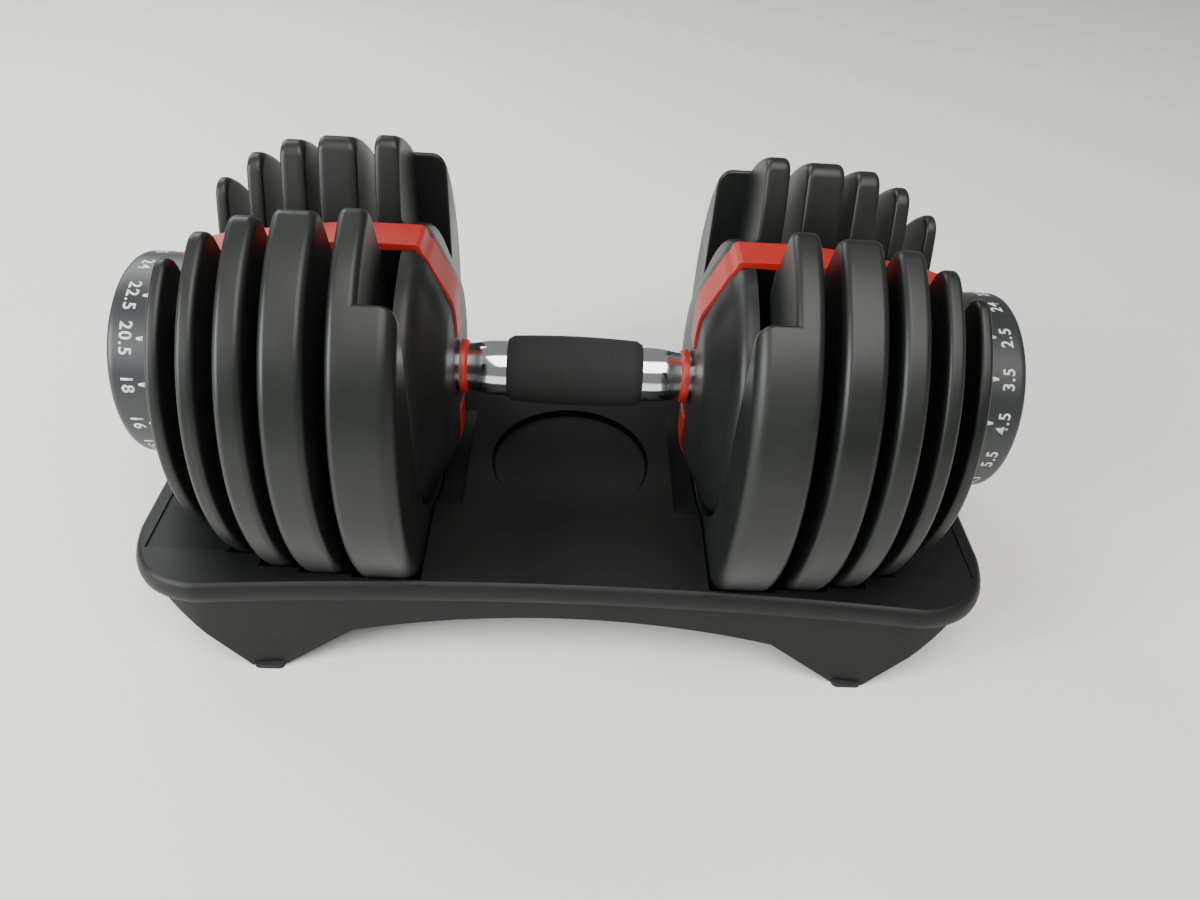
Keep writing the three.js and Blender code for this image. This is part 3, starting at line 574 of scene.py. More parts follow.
@dataclass
class Plate:
    """One weight plate: a slotted disc with rounded rims.

    Attributes:
        number: 1 for the inner plate.
        thickness: from face to face.
        rim_round: radius of its rim edges.
        tip_round: radius of the horns' tips, seen from the end.
        slot: half width of the slot beside the sleeve.
        mouth: half width of the slot at the horns' tips.
        flare: height over which the slot opens up to its mouth.
        slot_round: radius of the slot's edges.
    """

    number: int
    thickness: float
    rim_round: float
    tip_round: float
    slot: float = 22.0
    mouth: float = 32.0
    flare: float = 36.0
    slot_round: float = 1.1

    def outline(self, radius: float, slot: float, mouth: float, tip: float) -> Profile:
        """The plate's outline seen from the end, with its horns' tips rounded.

        Args:
            radius: the rim's radius.
            slot: half width of the slot at its bottom.
            mouth: half width of the slot at its top.
            tip: radius of the horns' tips.

        Returns:
            (y, z) points about the axis.
        """
        inner = mouth + tip
        height = math.sqrt((radius - tip) ** 2 - inner**2)
        start = math.atan2(inner, height)
        lean = math.atan2(1.5 * (mouth - slot), self.flare)
        turns = 8
        half: Profile = []
        for i in range(turns + 1):
            angle = math.pi * 1.5 + lean + (start + math.pi / 2 - lean) * i / turns
            half.append((inner + tip * math.sin(angle), height + tip * math.cos(angle)))
        wall: Profile = []
        for i in range(10):
            part = i / 10
            wide = slot + (half[0][0] - slot) * part**1.5
            wall.append((wide, half[0][1] - self.flare * (1 - part)))
        steps = 90
        for i in range(1, steps + 1):
            angle = start + (math.pi - start) * i / steps
            half.append((radius * math.sin(angle), radius * math.cos(angle)))
        mirrored = [(-y, z) for y, z in reversed(half[:-1])]
        floor = 28
        angles = [math.pi * i / floor for i in range(floor + 1)]
        bottom = [(-slot * math.cos(angle), -slot * math.sin(angle)) for angle in angles]
        return half + mirrored + [(-y, z) for y, z in reversed(wall)] + bottom + wall

    def slab(
        self,
        shop: Workshop,
        radius: float,
        opening: tuple[float, float, float],
        faces: tuple[float, float],
        rounds: tuple[float, float],
    ) -> bmesh.types.BMesh:
        """Moulds one slotted disc with rounded rims.

        Args:
            shop: the workshop.
            radius: the rim's radius.
            opening: half width at the slot's bottom and top, and its horns' tip radius.
            faces: where it starts and ends.
            rounds: radius of its rim's edge at each face.

        Returns:
            The disc.
        """
        slot, mouth, tip = opening
        rings = []
        for face, turn, way in ((faces[0], rounds[0], 1), (faces[1], rounds[1], -1)):
            shares = (0.0, 0.04, 0.13, 0.28, 0.5, 0.75, 1.0)
            depths = sorted({turn * share for share in shares} | {0.0, min(0.5, turn)})
            row = []
            for depth in depths:
                inset = fillet(depth, min(turn, self.slot_round))
                line = self.outline(radius - fillet(depth, turn), slot + inset, mouth + inset, tip)
                x = face + way * depth
                row.append([Vector((x, y, shop.axis + z)) for y, z in line])
            rings += row if way > 0 else row[::-1]
        return loft(rings)

    def blank(self, shop: Workshop, radius: float, start: float, end: float) -> bmesh.types.BMesh:
        """Moulds the plate's blank between its two faces."""
        opening = (self.slot, self.mouth, self.tip_round)
        return self.slab(shop, radius, opening, (start, end), (self.rim_round, self.rim_round))

    def build(self, shop: Workshop, side: Side) -> bpy.types.Object:
        """Moulds the plate and seats it.

        Args:
            shop: the workshop.
            side: which end.

        Returns:
            The plate.
        """
        node = f"plate_{self.number}_{side.value}"
        start, _, radius = span(node)
        return shop.piece(
            self.blank(shop, radius, start, start + self.thickness),
            f"plate_{self.number}_skin_{side.value}",
            PLATE_SKIN,
            f"plate_{self.number}_{side.value}_body",
            (node,),
            side,
        )


@dataclass
class PocketPlate(Plate):
    """The inner plate, which is thick round a pocket for the handle's guard.

    Attributes:
        pocket: half width of the pocket.
        web: what the pocket leaves of the thickness.
        lip_round: radius of the thick ring's inner edge.
        ring_tip: radius of the thick ring's tips.
    """

    pocket: float = 72.0
    web: float = 12.0
    lip_round: float = 7.0
    ring_tip: float = 1.6

    def blank(
        self, shop: Workshop, radius: float, start: float, end: float
    ) -> bpy.types.Object:
        """Joins the thin web to the thick ring round the pocket."""
        step = end - self.web
        web = shop.blank(super().blank(shop, radius, step, end))
        opening = (self.pocket, self.pocket, self.ring_tip)
        faces = (start, end - self.rim_round)
        ring = self.slab(shop, radius - 0.02, opening, faces, (self.lip_round, 0.3))
        return shop.work(web, shop.blank(ring), Join.ADD)


# ---- Handle ----


@dataclass
class Handle:
    """Grip, tube, collars, guards and the red straps of the handle.

    Attributes:
        grip_swell: how much the grip's middle stands over its ends.
        grip_edge: how far the grip's ends draw in.
        tube_bore: radius of the tube's bore.
        tube_radius: of the tube beside the grip.
        tube_end_radius: of the tube at the guards.
        taper: where the tube narrows, from and to.
        dome: the guard's outside as (x, radius), from its face to its back.
        guard_wall: thickness of the guard.
        strap_width: width of the strap over the guard.
        strap_end_width: its width at its lower end.
        strap_end: radius of its lower end.
        strap_level: x to which its top runs level.
        strap_lip: length of the thin lip that reaches over the dial.
        strap_proud: how far it stands out of the guard.
        strap_thick: its thickness.
        shoulder: how far the guard rises beside the strap.
        shoulder_fade: how far from the middle that rise starts to fade, and where it ends.
        seat_depth: how far the guard's rim sinks under the strap.
        beam_depth: thickness of the strap between guard and dial.
        collar_wall: how far the red collar stands out of the tube.
    """

    grip_swell: float = 1.2
    grip_edge: float = 1.6
    tube_bore: float = 7.4
    tube_radius: float = 14.0
    tube_end_radius: float = 11.8
    taper: tuple[float, float] = (44.0, 53.0)
    dome: Profile = field(
        default_factory=lambda: [
            (59.0, 12.2),
            (59.0, 40.0),
            (61.0, 46.0),
            (66.5, 57.0),
            (70.5, 66.0),
            (74.0, 70.0),
            (80.0, 70.0),
        ]
    )
    guard_wall: float = 3.0
    strap_width: float = 19.6
    strap_end_width: float = 13.0
    strap_end: float = 21.0
    strap_level: float = 112.0
    strap_lip: float = 3.3
    strap_proud: float = 1.2
    strap_thick: float = 3.0
    shoulder: float = 2.4
    shoulder_fade: tuple[float, float] = (15.0, 27.0)
    seat_depth: float = 3.2
    beam_depth: float = 3.4
    collar_wall: float = 2.0

    def grip(self, shop: Workshop) -> None:
        """Moulds the foam grip, with rounded ends and a slight swell."""
        _, half, radius = span("grip_sleeve")
        outer: Profile = []
        steps = 12
        for i in range(2 * steps + 1):
            t = i / steps - 1
            edge = self.grip_edge * smooth_step(0.93, 1.0, abs(t)) ** 2
            outer.append((t * half, radius - self.grip_swell * t * t - edge))
        profile = [*outer, (half, self.tube_radius + 0.1), (-half, self.tube_radius + 0.1)]
        shop.piece(
            shop.turned(profile, 96),
            "grip_foam",
            GRIP_FOAM,
            "handle",
            ("grip_sleeve",),
        )

    def tube(self, shop: Workshop) -> None:
        """Turns the chromed tube with its tapered ends."""
        end = span("handle_tube")[1]
        under_grip = 30.0
        half = soften(
            [
                (under_grip, self.tube_radius),
                (self.taper[0], self.tube_radius),
                (self.taper[1], self.tube_end_radius),
                (end, self.tube_end_radius),
            ],
            3,
        )
        mirrored = [(-x, r) for x, r in reversed(half)]
        profile = [*mirrored, *half, (end, self.tube_bore), (-end, self.tube_bore)]
        tube = shop.turned(profile, 96)
        shop.piece(tube, "tube_chrome", CHROME, "handle", ("handle_tube",))

    def shell_line(self) -> Profile:
        """The guard's rounded outside."""
        return soften(self.dome, 3)

    def guard(self, shop: Workshop, side: Side) -> None:
        """Moulds the domed guard, with a raised shoulder on each side of the strap."""
        outside = self.shell_line()
        inside = [
            (min(x, self.dome[-1][0]), r) for x, r in reversed(beside(outside, -self.guard_wall))
        ]
        inside[0] = (outside[-1][0], outside[-1][1] - self.guard_wall)
        inside[-1] = (outside[0][0] + self.guard_wall, outside[0][1])

        edge = self.strap_width / 2 + 0.1

        def lifted(across: float, up: float, radius: float) -> float:
            """How far out the guard stands: up beside the strap, and down under its top."""
            if up < 0:
                return 0.0
            across = abs(across)
            beside_strap = smooth_step(edge, edge + 1, across)
            beside_strap *= 1 - smooth_step(*self.shoulder_fade, across)
            rise = self.shoulder * smooth_step(40.0, 54.0, radius)
            rise *= 1 - 0.65 * smooth_step(62.0, 69.0, radius)
            under_strap = 1 - smooth_step(edge - 0.3, edge + 0.7, across)
            sink = self.seat_depth * under_strap * smooth_step(62.0, 66.5, radius)
            return rise * beside_strap - sink

        mesh = shop.turned([*outside, *inside], 360, lifted)
        shop.piece(
            mesh,
            f"guard_dome_{side.value}",
            GUARD_GREY,
            "handle",
            (f"guard_{side.value}",),
            side,
        )

    def across(
        self, shop: Workshop, half: float, outer: tuple[float, float], inner: tuple[float, float]
    ) -> list[Vector]:
        """Four corners of a strap at one place along it.

        Args:
            shop: the workshop.
            half: half the strap's width.
            outer: its outer face's x and height over the axis.
            inner: the same of its inner face.

        Returns:
            The corners, in order.
        """
        corners = ((outer, -half), (outer, half), (inner, half), (inner, -half))
        return [Vector((x, y, shop.axis + z)) for (x, z), y in corners]

    def strap(self, shop: Workshop, side: Side) -> None:
        """Moulds the red strap: over the guard, level to the plates' far side, down to the dial."""
        node = f"bridge_{side.value}"
        tip = span(node)[1]
        top = top_of(node) - shop.axis + 1.0
        outside = beside(self.shell_line(), self.strap_proud)
        over = [(x, r) for x, r in outside if self.strap_end < r < 65.0]
        elbow = [(70.6, 67.2), (72.4, top), (self.dome[-1][0], top), (self.strap_level, top)]
        lip = tip - self.strap_lip
        upper = soften([*over, *elbow, (lip, top - 11.0), (tip, top - 13.5)], 1, 0.2)
        lower = beside(upper, -self.strap_thick)
        rings = []
        for (x, r), (xi, ri) in zip(upper, lower):
            depth = smooth_step(78.0, 92.0, x) * (self.beam_depth - self.strap_thick)
            if x > tip - 4:
                depth *= 0.2
            share = smooth_step(22.0, 52.0, r)
            half = (self.strap_end_width + (self.strap_width - self.strap_end_width) * share) / 2
            if x > lip:
                half *= 0.55
            rings.append(self.across(shop, half, (x, r), (xi, ri - depth)))
        shop.piece(
            loft(rings),
            f"strap_red_{side.value}",
            STRAP_RED,
            "handle",
            (f"bridge_{side.value}",),
            side,
            0.9,
            2,
        )

    def tongue(self, shop: Workshop, side: Side) -> None:
        """Moulds the short strap under the handle, which follows the guard down to its tip."""
        outside = beside(self.shell_line(), self.strap_proud)
        face = self.dome[0][0] - self.strap_proud
        line = [(face, 21.5), (face, 30.0), (face, 38.0)]
        line += [(x, r) for x, r in outside if 45.0 < r < 53.0]
        rings = []
        for (x, r), (xi, ri) in zip(line, beside(line, -self.strap_thick)):
            half = 6.6 - 2.8 * smooth_step(24.0, 54.0, r)
            rings.append(self.across(shop, half, (x, -r), (xi, -ri)))
        shop.piece(
            loft(rings),
            f"tongue_red_{side.value}",
            STRAP_RED,
            "handle",
            (f"tongue_{side.value}",),
            side,
            0.8,
            2,
        )

    def collar(self, shop: Workshop, side: Side) -> None:
        """Turns the red collar where the tube enters the guard."""
        start, end, _ = span(f"tube_collar_{side.value}")
        radius = self.tube_end_radius + self.collar_wall
        bore = self.tube_end_radius + 0.1
        outer = soften(
            [(start, bore), (start, radius - 1.4), (start + 1.2, radius), (end, radius)], 2
        )
        shop.piece(
            shop.turned([*outer, (end, bore)], 96),
            f"collar_red_{side.value}",
            STRAP_RED,
            "handle",
            (f"tube_collar_{side.value}",),
            side,
        )

    def build(self, shop: Workshop) -> None:
        """Builds the whole handle."""
        self.grip(shop)
        self.tube(shop)
        for side in Side:
            self.guard(shop, side)
            self.strap(shop, side)
            self.tongue(shop, side)
            self.collar(shop, side)


# ---- Selector ----


@dataclass
class Dial:
    """The numbered dial that turns the selector discs.

    Attributes:
        labels: settings in order from the top towards the back of the right-hand dial.
        wall: thickness of its shell.
        face_sunk: how far its end face is sunk round the boss.
        boss: radius of the raised middle.
        bore: radius of the hole under the cap.
        edge: radius of its outer edge.
        band_start: where the numbered band starts, from the dial's inner face.
        band_step: how far the plain band stands over the numbered one.
        digit: size of the numbers' letters.
        number_at: middle of the numbers, from the outer face.
        tick_at: middle of the ticks, from the outer face.
        ink: thickness of the print.
    """

    labels: tuple[str, ...] = (
        "24",
        "22.5",
        "20.5",
        "18",
        "16",
        "13.5",
        "11.5",
        "10",
        "9",
        "8",
        "6.5",
        "5.5",
        "4.5",
        "3.5",
        "2.5",
    )
    wall: float = 3.4
    face_sunk: float = 0.8
    boss: float = 23.0
    bore: float = 8.0
    edge: float = 1.8
    band_start: float = 13.5
    band_step: float = 0.15
    digit: float = 7.8
    number_at: float = 9.0
    tick_at: float = 15.6
    ink: float = 0.08

    def shell(self, shop: Workshop, side: Side, start: float, end: float, radius: float) -> None:
        """Moulds the dial's shell.

        Args:
            shop: the workshop.
            side: which end.
            start: where the dial starts.
            end: where it ends.
            radius: its outer radius.
        """
        low = radius - self.band_step
        inner = radius - self.wall
        outer = soften(
            [
                (end - 6.0, low),
                (end - self.edge, low),
                (end, low - self.edge),
                (end, low - 9.0),
            ],
            3,
        )
        profile = [
            (start, inner),
            (start, radius - 0.8),
            (start + 0.8, radius),
            (start + self.band_start - 0.5, radius),
            (start + self.band_start, low),
            *outer,
            (end - self.face_sunk, low - 10.2),
            (end - self.face_sunk, self.boss + 1.0),
            (end, self.boss),
            (end, self.bore),
            (end - self.wall, self.bore),
            (end - self.wall, inner),
        ]
        shop.piece(
            shop.turned(profile, 160),
            f"dial_shell_{side.value}",
            DIAL_BLACK,
            f"selector_{side.value}",
            (f"dial_{side.value}",),
            side,
        )

    def number(self, text: str) -> bmesh.types.BMesh:
        """Sets one number flat, in millimetres, centred on the origin."""
        curve = bpy.data.curves.new("number", "FONT")
        curve.body = text
        curve.size = self.digit
        curve.space_character = 1.18
        curve.align_x = "CENTER"
        curve.align_y = "CENTER"
        curve.offset = 0.16
        holder = set_out("number", curve)
        seen = holder.evaluated_get(bpy.context.evaluated_depsgraph_get())
        mesh = bmesh.new()
        mesh.from_mesh(seen.to_mesh())
        seen.to_mesh_clear()
        bpy.data.objects.remove(holder)
        bpy.data.curves.remove(curve)
        return mesh

    def tick(self) -> bmesh.types.BMesh:
        """Draws one small wedge, wide towards the plates."""
        mesh = bmesh.new()
        corners = ((-0.5, -1.5), (0.5, -1.5), (1.2, 1.5), (-1.2, 1.5))
        mesh.faces.new([mesh.verts.new((u, v, 0.0)) for u, v in corners])
        return mesh

    def lettering(self, shop: Workshop, side: Side, end: float, radius: float) -> None:
        """Prints the numbers and ticks round the dial.

        Args:
            shop: the workshop.
            side: which end.
            end: where the dial ends.
            radius: radius of the numbered band.
        """
        sheet = bmesh.new()
        for i, label in enumerate(self.labels):
            turn = 2 * math.pi * i / len(self.labels)
            for mark, inset in ((self.number(label), self.number_at), (self.tick(), self.tick_at)):
                for vert in mark.verts:
                    angle = turn + vert.co.x / radius
                    far = radius + self.ink
                    vert.co = Vector(
                        (
                            end - inset - vert.co.y,
                            far * math.sin(angle),
                            shop.axis + far * math.cos(angle),
                        )
                    )
                data = bpy.data.meshes.new("mark")
                mark.to_mesh(data)
                mark.free()
                sheet.from_mesh(data)
                bpy.data.meshes.remove(data)
        printed = shop.piece(
            sheet,
            f"dial_numbers_{side.value}",
            PRINT_WHITE,
            f"selector_{side.value}",
            (),
            side,
        )
        thick = printed.modifiers.new("ink", "SOLIDIFY")
        thick.thickness = self.ink * MM
        thick.offset = 0.0

    def cap(self, shop: Workshop, side: Side) -> None:
        """Turns the dial's cap with a domed rim and a sunk middle."""
        start, end, radius = span(f"dial_cap_{side.value}")
        face, floor = end - 3.0, end - 1.9
        dome = [(face, radius), (end - 1.2, radius), (end, radius - 2.5), (end, 13.0)]
        outer = soften([*dome, (end - 1, 10.0)], 2)
        bore, spigot = 3.3, self.bore - 0.4
        profile = [*outer, (floor, 7.4), (floor, bore), (start, bore)]
        profile += [(start, spigot), (face, spigot)]
        shop.piece(
            shop.turned(profile, 96),
            f"cap_{side.value}",
            DIAL_BLACK,
            f"selector_{side.value}",
            (f"dial_cap_{side.value}",),
            side,
        )

    def build(self, shop: Workshop, side: Side) -> None:
        """Builds one dial with its print and cap."""
        start, end, radius = span(f"dial_{side.value}")
        self.shell(shop, side, start, end, radius)
        self.lettering(shop, side, end, radius - self.band_step)
        self.cap(shop, side)


class SelectorStack:
    """The sleeve and hooked discs between the plates, which keep their CAD shape."""

    def build(self, side: Side) -> None:
        """Dresses the sleeve and the discs of one end."""
        dress(f"selector_sleeve_{side.value}", DIAL_BLACK)
        for i in range(1, 6):
            dress(f"selector_disc_{i}_{side.value}", DIAL_BLACK)


# ---- Tray and stand ----


@dataclass
class Tray:
    """The moulded tray with its stepped wells, on a four-legged stand.

    Attributes:
        half_length: of the tray.
        half_depth: of the tray at its corners.
        waist: how much the long edges draw in at the middle.
        corner: size of its corners.
        seam: height of the seam between tray and stand.
        wall: thickness of its walls.
        well_gap: running room round the plates.
        rib_gap: running room beside them.
        tab: how far a plate's lift tab stands out of its outer face.
        rib_top: height of the ribs between the plates.
        recess: radius of the round recess.
        recess_depth: how deep it is.
        deck: the end deck's x from and to, and its heights there.
        deck_half: half depth of the end deck.
    """

    half_length: float = 213.0
    half_depth: float = 102.0
    waist: float = 7.4
    corner: float = 40.0
    seam: float = 42.5
    wall: float = 2.8
    well_gap: float = 0.5
    rib_gap: float = 1.2
    tab: float = 1.7
    rib_top: float = 30.0
    recess: float = 43.5
    recess_depth: float = 5.5
    deck: tuple[float, float, float, float] = (156.0, 204.0, 50.4, 52.7)
    deck_half: float = 77.0

    def curve(self, a: Vector, b: Vector, c: Vector, steps: int) -> list[Vector]:
        """Points of a quadratic curve from a, pulled by b, short of c."""
        made = []
        for i in range(steps):
            t = i / steps
            made.append(a * (1 - t) ** 2 + b * 2 * t * (1 - t) + c * t * t)
        return made

    def outline(self, inset: float, z: float, spread: float = 1.0) -> list[Vector]:
        """The tray's outline drawn in by an inset.

        Args:
            inset: how far in.
            z: height of the ring.
            spread: scale of its depth.

        Returns:
            A ring of points.
        """
        length, depth = self.half_length - inset, self.half_depth - inset
        corner = self.corner - inset
        start = length - corner
        waist = depth - 2 * self.waist
        half: list[Vector] = []
        half += self.curve(
            Vector((-start, -depth, 0)), Vector((0, -waist, 0)), Vector((start, -depth, 0)), 48
        )
        half += self.curve(
            Vector((start, -depth, 0)),
            Vector((length - 4, -depth + 2, 0)),
            Vector((length, -depth + corner, 0)),
            16,
        )
        half += self.curve(
            Vector((length, -depth + corner, 0)),
            Vector((length, 0, 0)),
            Vector((length, depth - corner, 0)),
            12,
        )
        half += self.curve(
            Vector((length, depth - corner, 0)),
            Vector((length - 4, depth - 2, 0)),
            Vector((start, depth, 0)),
            16,
        )
        ring = half + [Vector((-p.x, -p.y, 0)) for p in half]
        return [Vector((p.x, p.y * spread, z)) for p in ring]

    def well(self, grow: float) -> Profile:
        """Profile of one end's stepped well as (x, radius).

        Args:
            grow: how much larger than the inside.

        Returns:
            Points that close on the axis.
        """
        plates = [span(f"plate_{i}_right") for i in range(1, 6)]
        guard_start, _, guard_radius = span("guard_right")
        start = guard_start - 3.5
        guard_radius += 2.0
        radii = [radius + self.well_gap for _, _, radius in plates]
        bounds = [plates[0][0] - self.rib_gap]
        for near, far in zip(plates, plates[1:]):
            bounds.append((near[1] - self.tab + far[0]) / 2)
        bounds.append(plates[-1][1] - self.tab + self.rib_gap)
        profile: Profile = [(start - grow, 0.0), (start - grow, guard_radius + grow)]
        profile.append((bounds[0] - grow, guard_radius + grow))
        profile.append((bounds[0] - grow, radii[0] + grow))
        for edge, radius, following in zip(bounds[1:], radii, [*radii[1:], 0.0]):
            profile.append((edge + grow, radius + grow))
            profile.append((edge + grow, following + grow if following else 0.0))
        return profile

    def ends(
        self,
        shop: Workshop,
        target: bpy.types.Object,
        make: Callable[[], bmesh.types.BMesh],
        how: Join,
    ) -> bpy.types.Object:
        """Works a blank with the same tool at both ends.

        Args:
            shop: the workshop.
            target: the blank.
            make: makes the tool for the right-hand end.
            how: what to do.

        Returns:
            The worked blank.
        """
        for side in Side:
            tool = make()
            tool.transform(side.turn)
            target = shop.work(target, shop.blank(tool), how)
        return target

    def block(self, low: Sequence[float], high: Sequence[float]) -> bmesh.types.BMesh:
        """A block between two corners, to cut with."""
        (x0, y0, z0), (x1, y1, z1) = low, high
        corners = ((x0, y0), (x1, y0), (x1, y1), (x0, y1))
        return loft([[Vector((x, y, z)) for x, y in corners] for z in (z0, z1)])

    def well_blank(self, shop: Workshop, grow: float) -> bmesh.types.BMesh:
        """Turns one end's well."""
        return shop.turned(self.well(grow), 120)

    def ribs(self, shop: Workshop) -> list[Profile]:
        """Profiles of the ribs that stand between the plates."""
        made = []
        for i in range(1, 5):
            near, far = span(f"plate_{i}_right"), span(f"plate_{i + 1}_right")
            start, end = near[1] - self.tab + self.rib_gap, far[0] - self.rib_gap
            radius = far[2] + self.well_gap + 1.0
            made.append([(start, 0.0), (start, radius), (end, radius), (end, 0.0)])
        return made

    def shell(self, shop: Workshop) -> None:
        """Moulds the tray."""
        top = top_of("tray_shell")
        low = self.seam
        rim = [
            (0.9, low),
            (0.2, low + 1.4),
            (0.0, low + 3.6),
            (0.15, low + 5.6),
            (0.8, low + 7.6),
            (1.6, low + 9.2),
            (2.4, low + 10.3),
            (3.6, top),
        ]
        stations = [(self.wall + 1.0, low + 4.0), (self.wall + 1.0, low), *rim]
        tray = shop.blank(loft([self.outline(inset, z) for inset, z in stations]))
        for side in Side:
            tool = self.well_blank(shop, self.wall)
            tool.transform(side.turn)
            outer = shop.blank(tool)
            slab = shop.blank(self.block((-FAR, -FAR, 0.4), (FAR, FAR, top - 1.0)))
            outer = shop.work(outer, slab, Join.KEEP)
            tray = shop.work(tray, outer, Join.ADD)
        deck_x0, deck_x1, deck_z0, deck_z1 = self.deck

        def deck_room() -> bmesh.types.BMesh:
            """Room over an end deck."""
            room = [(deck_x0, deck_z0), (deck_x1, deck_z1), (deck_x1, top + 1), (deck_x0, top + 1)]
            sides = (-self.deck_half, self.deck_half)
            return loft([[Vector((x, y, z)) for x, z in room] for y in sides])

        tray = self.ends(shop, tray, deck_room, Join.CUT)
        tray = self.ends(shop, tray, lambda: self.well_blank(shop, 0.0), Join.CUT)
        for profile in self.ribs(shop):
            for side in Side:
                tool = shop.turned(profile, 120)
                tool.transform(side.turn)
                rib = shop.blank(tool)
                slab = shop.blank(self.block((-FAR, -FAR, -5.0), (FAR, FAR, self.rib_top)))
                tray = shop.work(tray, shop.work(rib, slab, Join.KEEP), Join.ADD)
        rings = [circle(self.recess, z) for z in (top - self.recess_depth, top + 1)]
        tray = shop.work(tray, shop.blank(loft(rings)), Join.CUT)
        shop.piece(
            tray, "tray_moulding", TRAY_SHELL, "base", ("tray_shell",), round_mm=1.0
        )

    def disc(self, shop: Workshop) -> None:
        """Moulds the plain disc in the recess."""
        low, high = (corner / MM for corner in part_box("centre_disc"))
        radius = (high.x - low.x) / 2
        line = ((0.5, low.z), (0.0, low.z + 0.4), (0.0, high.z - 0.6), (0.7, high.z))
        disc = loft([circle(radius - inset, z) for inset, z in line])
        shop.piece(disc, "disc_plain", TRAY_SHELL, "base", ("centre_disc",))

    def build(self, shop: Workshop) -> None:
        """Builds the tray and its disc."""
        self.shell(shop)
        self.disc(shop)


@dataclass
class Stand:
    """The skirt under the tray with its arches and four feet.

    Attributes:
        tray: the tray whose outline it follows.
        inset: how far inside the tray's edge it starts.
        wall: thickness of its walls.
        spread: half depth at the floor.
        foot: inner and outer |x| of a foot.
        foot_length: length of a foot along Y.
        shoulder: |x| and height where the arch meets the legs.
        arch: height of the arch at the middle.
        end_arch: height of the arch at the ends.
        end_half: half length at the top.
        clearance: height of its feet's rims over the floor.
        window: half size along X and Y of the opening under the tray's middle.
    """

    tray: Tray
    inset: float = 3.0
    wall: float = 3.0
    spread: float = 107.5
    foot: tuple[float, float] = (138.0, 154.0)
    foot_length: float = 16.0
    shoulder: tuple[float, float] = (104.0, 22.0)
    arch: float = 31.0
    end_arch: float = 38.5
    end_half: float = 192.0
    clearance: float = 1.0
    window: tuple[float, float] = (59.0, 78.0)

    def form(
        self, shop: Workshop, inset: float, bottom: float, top: float, rise: float = 0.0
    ) -> bpy.types.Object:
        """The skirt's outer form drawn in by an inset, without its arches.

        Args:
            shop: the workshop.
            inset: how far in.
            bottom: its lower height.
            top: its upper height.
            rise: how far below top the form is cut off.

        Returns:
            The form.
        """
        rings = []
        steps = 6
        widest = self.spread / (self.tray.half_depth - self.inset)
        for i in range(steps + 1):
            z = bottom + (top - rise - bottom) * i / steps
            part = (z - bottom) / (top - bottom)
            spread = widest + (1 - widest) * part
            rings.append(self.tray.outline(self.inset + inset, z, spread))
        form = shop.blank(loft(rings))
        foot, end = self.foot[1] - inset, self.end_half - inset
        far = 2 * self.end_half
        ends = [(-foot, bottom), (foot, bottom), (end, top), (end, top + 9), (-end, top + 9)]
        ends.append((-end, top))
        prism = loft([[Vector((x, y, z)) for x, z in ends] for y in (-far, far)])
        return shop.work(form, shop.blank(prism), Join.KEEP)

    def arch_line(
        self, half: float, low: float, shoulder: tuple[float, float], top: float
    ) -> Profile:
        """Outline of an arch, from one foot over the top to the other.

        Args:
            half: half its width at the feet.
            low: the feet's height.
            shoulder: where its curve starts.
            top: its height at the middle.

        Returns:
            Points across and up.
        """
        line = [(-half, -2.0), (-half, low), (-shoulder[0], shoulder[1])]
        line = [line[0], *soften(line[1:], 1, 0.1)]
        steps = 40
        for i in range(steps + 1):
            t = 2 * i / steps - 1
            line.append((t * shoulder[0], top - (top - shoulder[1]) * t * t))
        mirrored = [(-u, v) for u, v in reversed(line[: -(steps + 1)])]
        return [*line, *mirrored]

    def build(self, shop: Workshop) -> None:
        """Moulds the stand and gives its pads and screws their finishes."""
        low = self.clearance
        top = top_of("stand_skirt")
        stand = self.form(shop, 0.0, low, top)
        hollow = self.form(shop, self.wall, low - 1.0, top, self.wall)
        stand = shop.work(stand, hollow, Join.CUT)
        line = self.arch_line(self.foot[0], low, self.shoulder, self.arch)
        front = loft([[Vector((u, y, v)) for u, v in line] for y in (-FAR, FAR)])
        stand = shop.work(stand, shop.blank(front), Join.CUT)
        end_half = self.spread - self.foot_length
        line = self.arch_line(end_half, low, (end_half * 0.92, low + 6.0), self.end_arch)
        side = loft([[Vector((x, u, v)) for u, v in line] for x in (-FAR, FAR)])
        stand = shop.work(stand, shop.blank(side), Join.CUT)
        stand = self.tray.ends(
            shop, stand, lambda: self.tray.well_blank(shop, self.tray.wall + 0.9), Join.CUT
        )
        x, y = self.window
        middle = self.tray.block((-x, -y, 0.0), (x, y, 60.0))
        stand = shop.work(stand, shop.blank(middle), Join.CUT)
        shop.piece(
            stand,
            "stand_moulding",
            TRAY_SHELL,
            "base",
            ("stand_skirt",),
            round_mm=1.4,
        )
        for i in range(1, 5):
            dress(f"foot_pad_{i}", PAD_RUBBER)
            dress(f"stand_screw_{i}", ZINC)


def dress(node: str, finish: Finish) -> None:
    """Gives a CAD node that keeps its shape its finish.

    Args:
        node: the node's name.
        finish: its finish.
    """
    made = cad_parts[node]
    for slot in made.material_slots:
        slot.material = finish.make()
    if not made.material_slots:
        made.data.materials.append(finish.make())
    LOG.info("%s: %s", node, finish.name)


# ---- Studio ----


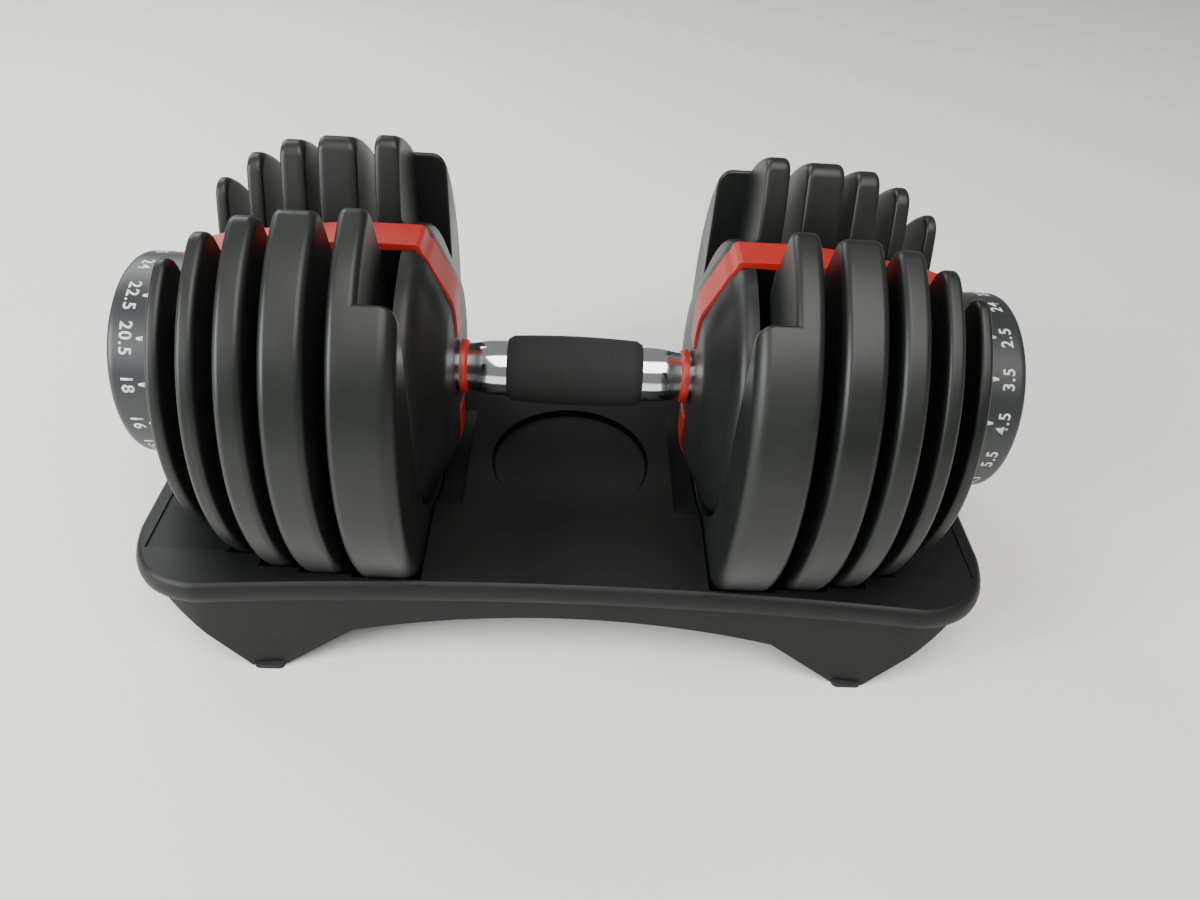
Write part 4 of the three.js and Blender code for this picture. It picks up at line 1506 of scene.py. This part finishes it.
@dataclass
class Studio:
    """Floor, soft light and camera.

    Attributes:
        eye: the camera's place.
        yaw: its turn to the right, in degrees.
        pitch: its tilt down, in degrees.
        roll: its roll, in degrees.
        view_angle: width of its view, in degrees.
    """

    eye: tuple[float, float, float] = (-2.918, -365.55, 379.08)
    yaw: float = 2.98
    pitch: float = 40.99
    roll: float = 4.44
    view_angle: float = 68.8

    def camera(self) -> None:
        """Sets up the camera."""
        data = bpy.data.cameras.new("camera")
        data.sensor_fit = "HORIZONTAL"
        data.sensor_width = 36.0
        data.lens = 18.0 / math.tan(math.radians(self.view_angle) / 2)
        data.clip_start, data.clip_end = 0.01, 50.0
        held = set_out("camera", data)
        yaw, pitch, roll = (math.radians(a) for a in (self.yaw, self.pitch, self.roll))
        ahead = Vector(
            (
                math.sin(yaw) * math.cos(pitch),
                math.cos(yaw) * math.cos(pitch),
                -math.sin(pitch),
            )
        )
        level = Vector((math.cos(yaw), -math.sin(yaw), 0.0))
        up = level.cross(ahead)
        right = level * math.cos(roll) + up * math.sin(roll)
        top = up * math.cos(roll) - level * math.sin(roll)
        held.matrix_world = Matrix(
            (
                (right.x, top.x, -ahead.x, self.eye[0] * MM),
                (right.y, top.y, -ahead.y, self.eye[1] * MM),
                (right.z, top.z, -ahead.z, self.eye[2] * MM),
                (0, 0, 0, 1),
            )
        )
        bpy.context.scene.camera = held

    def lamp(
        self, name: str, spot: tuple[float, float, float], size: float, power: float, hue: str
    ) -> None:
        """Hangs a soft box that faces the dumbbell.

        Args:
            name: its name.
            spot: where it hangs, in metres.
            size: its side, in metres.
            power: in watts.
            hue: sRGB hex colour.
        """
        data = bpy.data.lights.new(name, "AREA")
        data.shape = "SQUARE"
        data.size = size
        data.energy = power
        data.color = linear(hue)[:3]
        made = set_out(name, data)
        made.location = spot
        aim = Vector((0, 0, 0.1)) - made.location
        made.rotation_euler = aim.to_track_quat("-Z", "Y").to_euler()

    def build(self) -> None:
        """Lays the floor, hangs the lamps and sets the camera."""
        mesh = bmesh.new()
        reach = 6.0
        corners = ((-reach, -reach), (reach, -reach), (reach, reach), (-reach, reach))
        mesh.faces.new([mesh.verts.new((x, y, 0.0)) for x, y in corners])
        data = bpy.data.meshes.new("floor")
        mesh.to_mesh(data)
        mesh.free()
        floor = set_out("floor", data)
        floor.data.materials.append(FLOOR_PAINT.make())
        world = bpy.data.worlds.new("studio")
        world.use_nodes = True
        world.node_tree.nodes["Background"].inputs["Color"].default_value = linear("EDEEEC")
        world.node_tree.nodes["Background"].inputs["Strength"].default_value = 0.36
        bpy.context.scene.world = world
        self.lamp("window", (-1.5, -0.9, 0.9), 1.0, 46.0, "F8FAF9")
        self.lamp("ceiling", (0.3, -0.9, 2.1), 1.8, 62.0, "FFFDFA")
        self.lamp("back", (-0.9, 0.9, 1.0), 0.8, 12.0, "F8FAF9")
        self.camera()


def build_dumbbell() -> None:
    """Builds every piece in order."""
    rod_low, rod_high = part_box("core_rod")
    shop = Workshop(tidied((rod_low.z + rod_high.z) / 2))
    plates = (
        PocketPlate(1, 27.5, 3.4, 6.0),
        Plate(2, 18.2, 3.6, 6.5),
        Plate(3, 11.7, 3.2, 7.5),
        Plate(4, 7.5, 2.5, 8.5),
        Plate(5, 5.8, 2.1, 8.0),
    )
    for side in Side:
        for plate in plates:
            plate.build(shop, side)
        Dial().build(shop, side)
        SelectorStack().build(side)
        for node in (f"dial_screw_{side.value}", f"detent_plunger_{side.value}"):
            dress(node, ZINC)
        dress(f"detent_spring_{side.value}", ZINC)
    Handle().build(shop)
    dress("core_rod", ZINC)
    tray = Tray()
    tray.build(shop)
    Stand(tray).build(shop)
    LOG.info("%d pieces made", shop.pieces)


def main() -> None:
    """Builds the dumbbell and its studio."""
    logging.basicConfig(level=logging.INFO, format="%(message)s")
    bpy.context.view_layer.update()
    build_dumbbell()
    Studio().build()


if __name__ == "__main__":
    main()
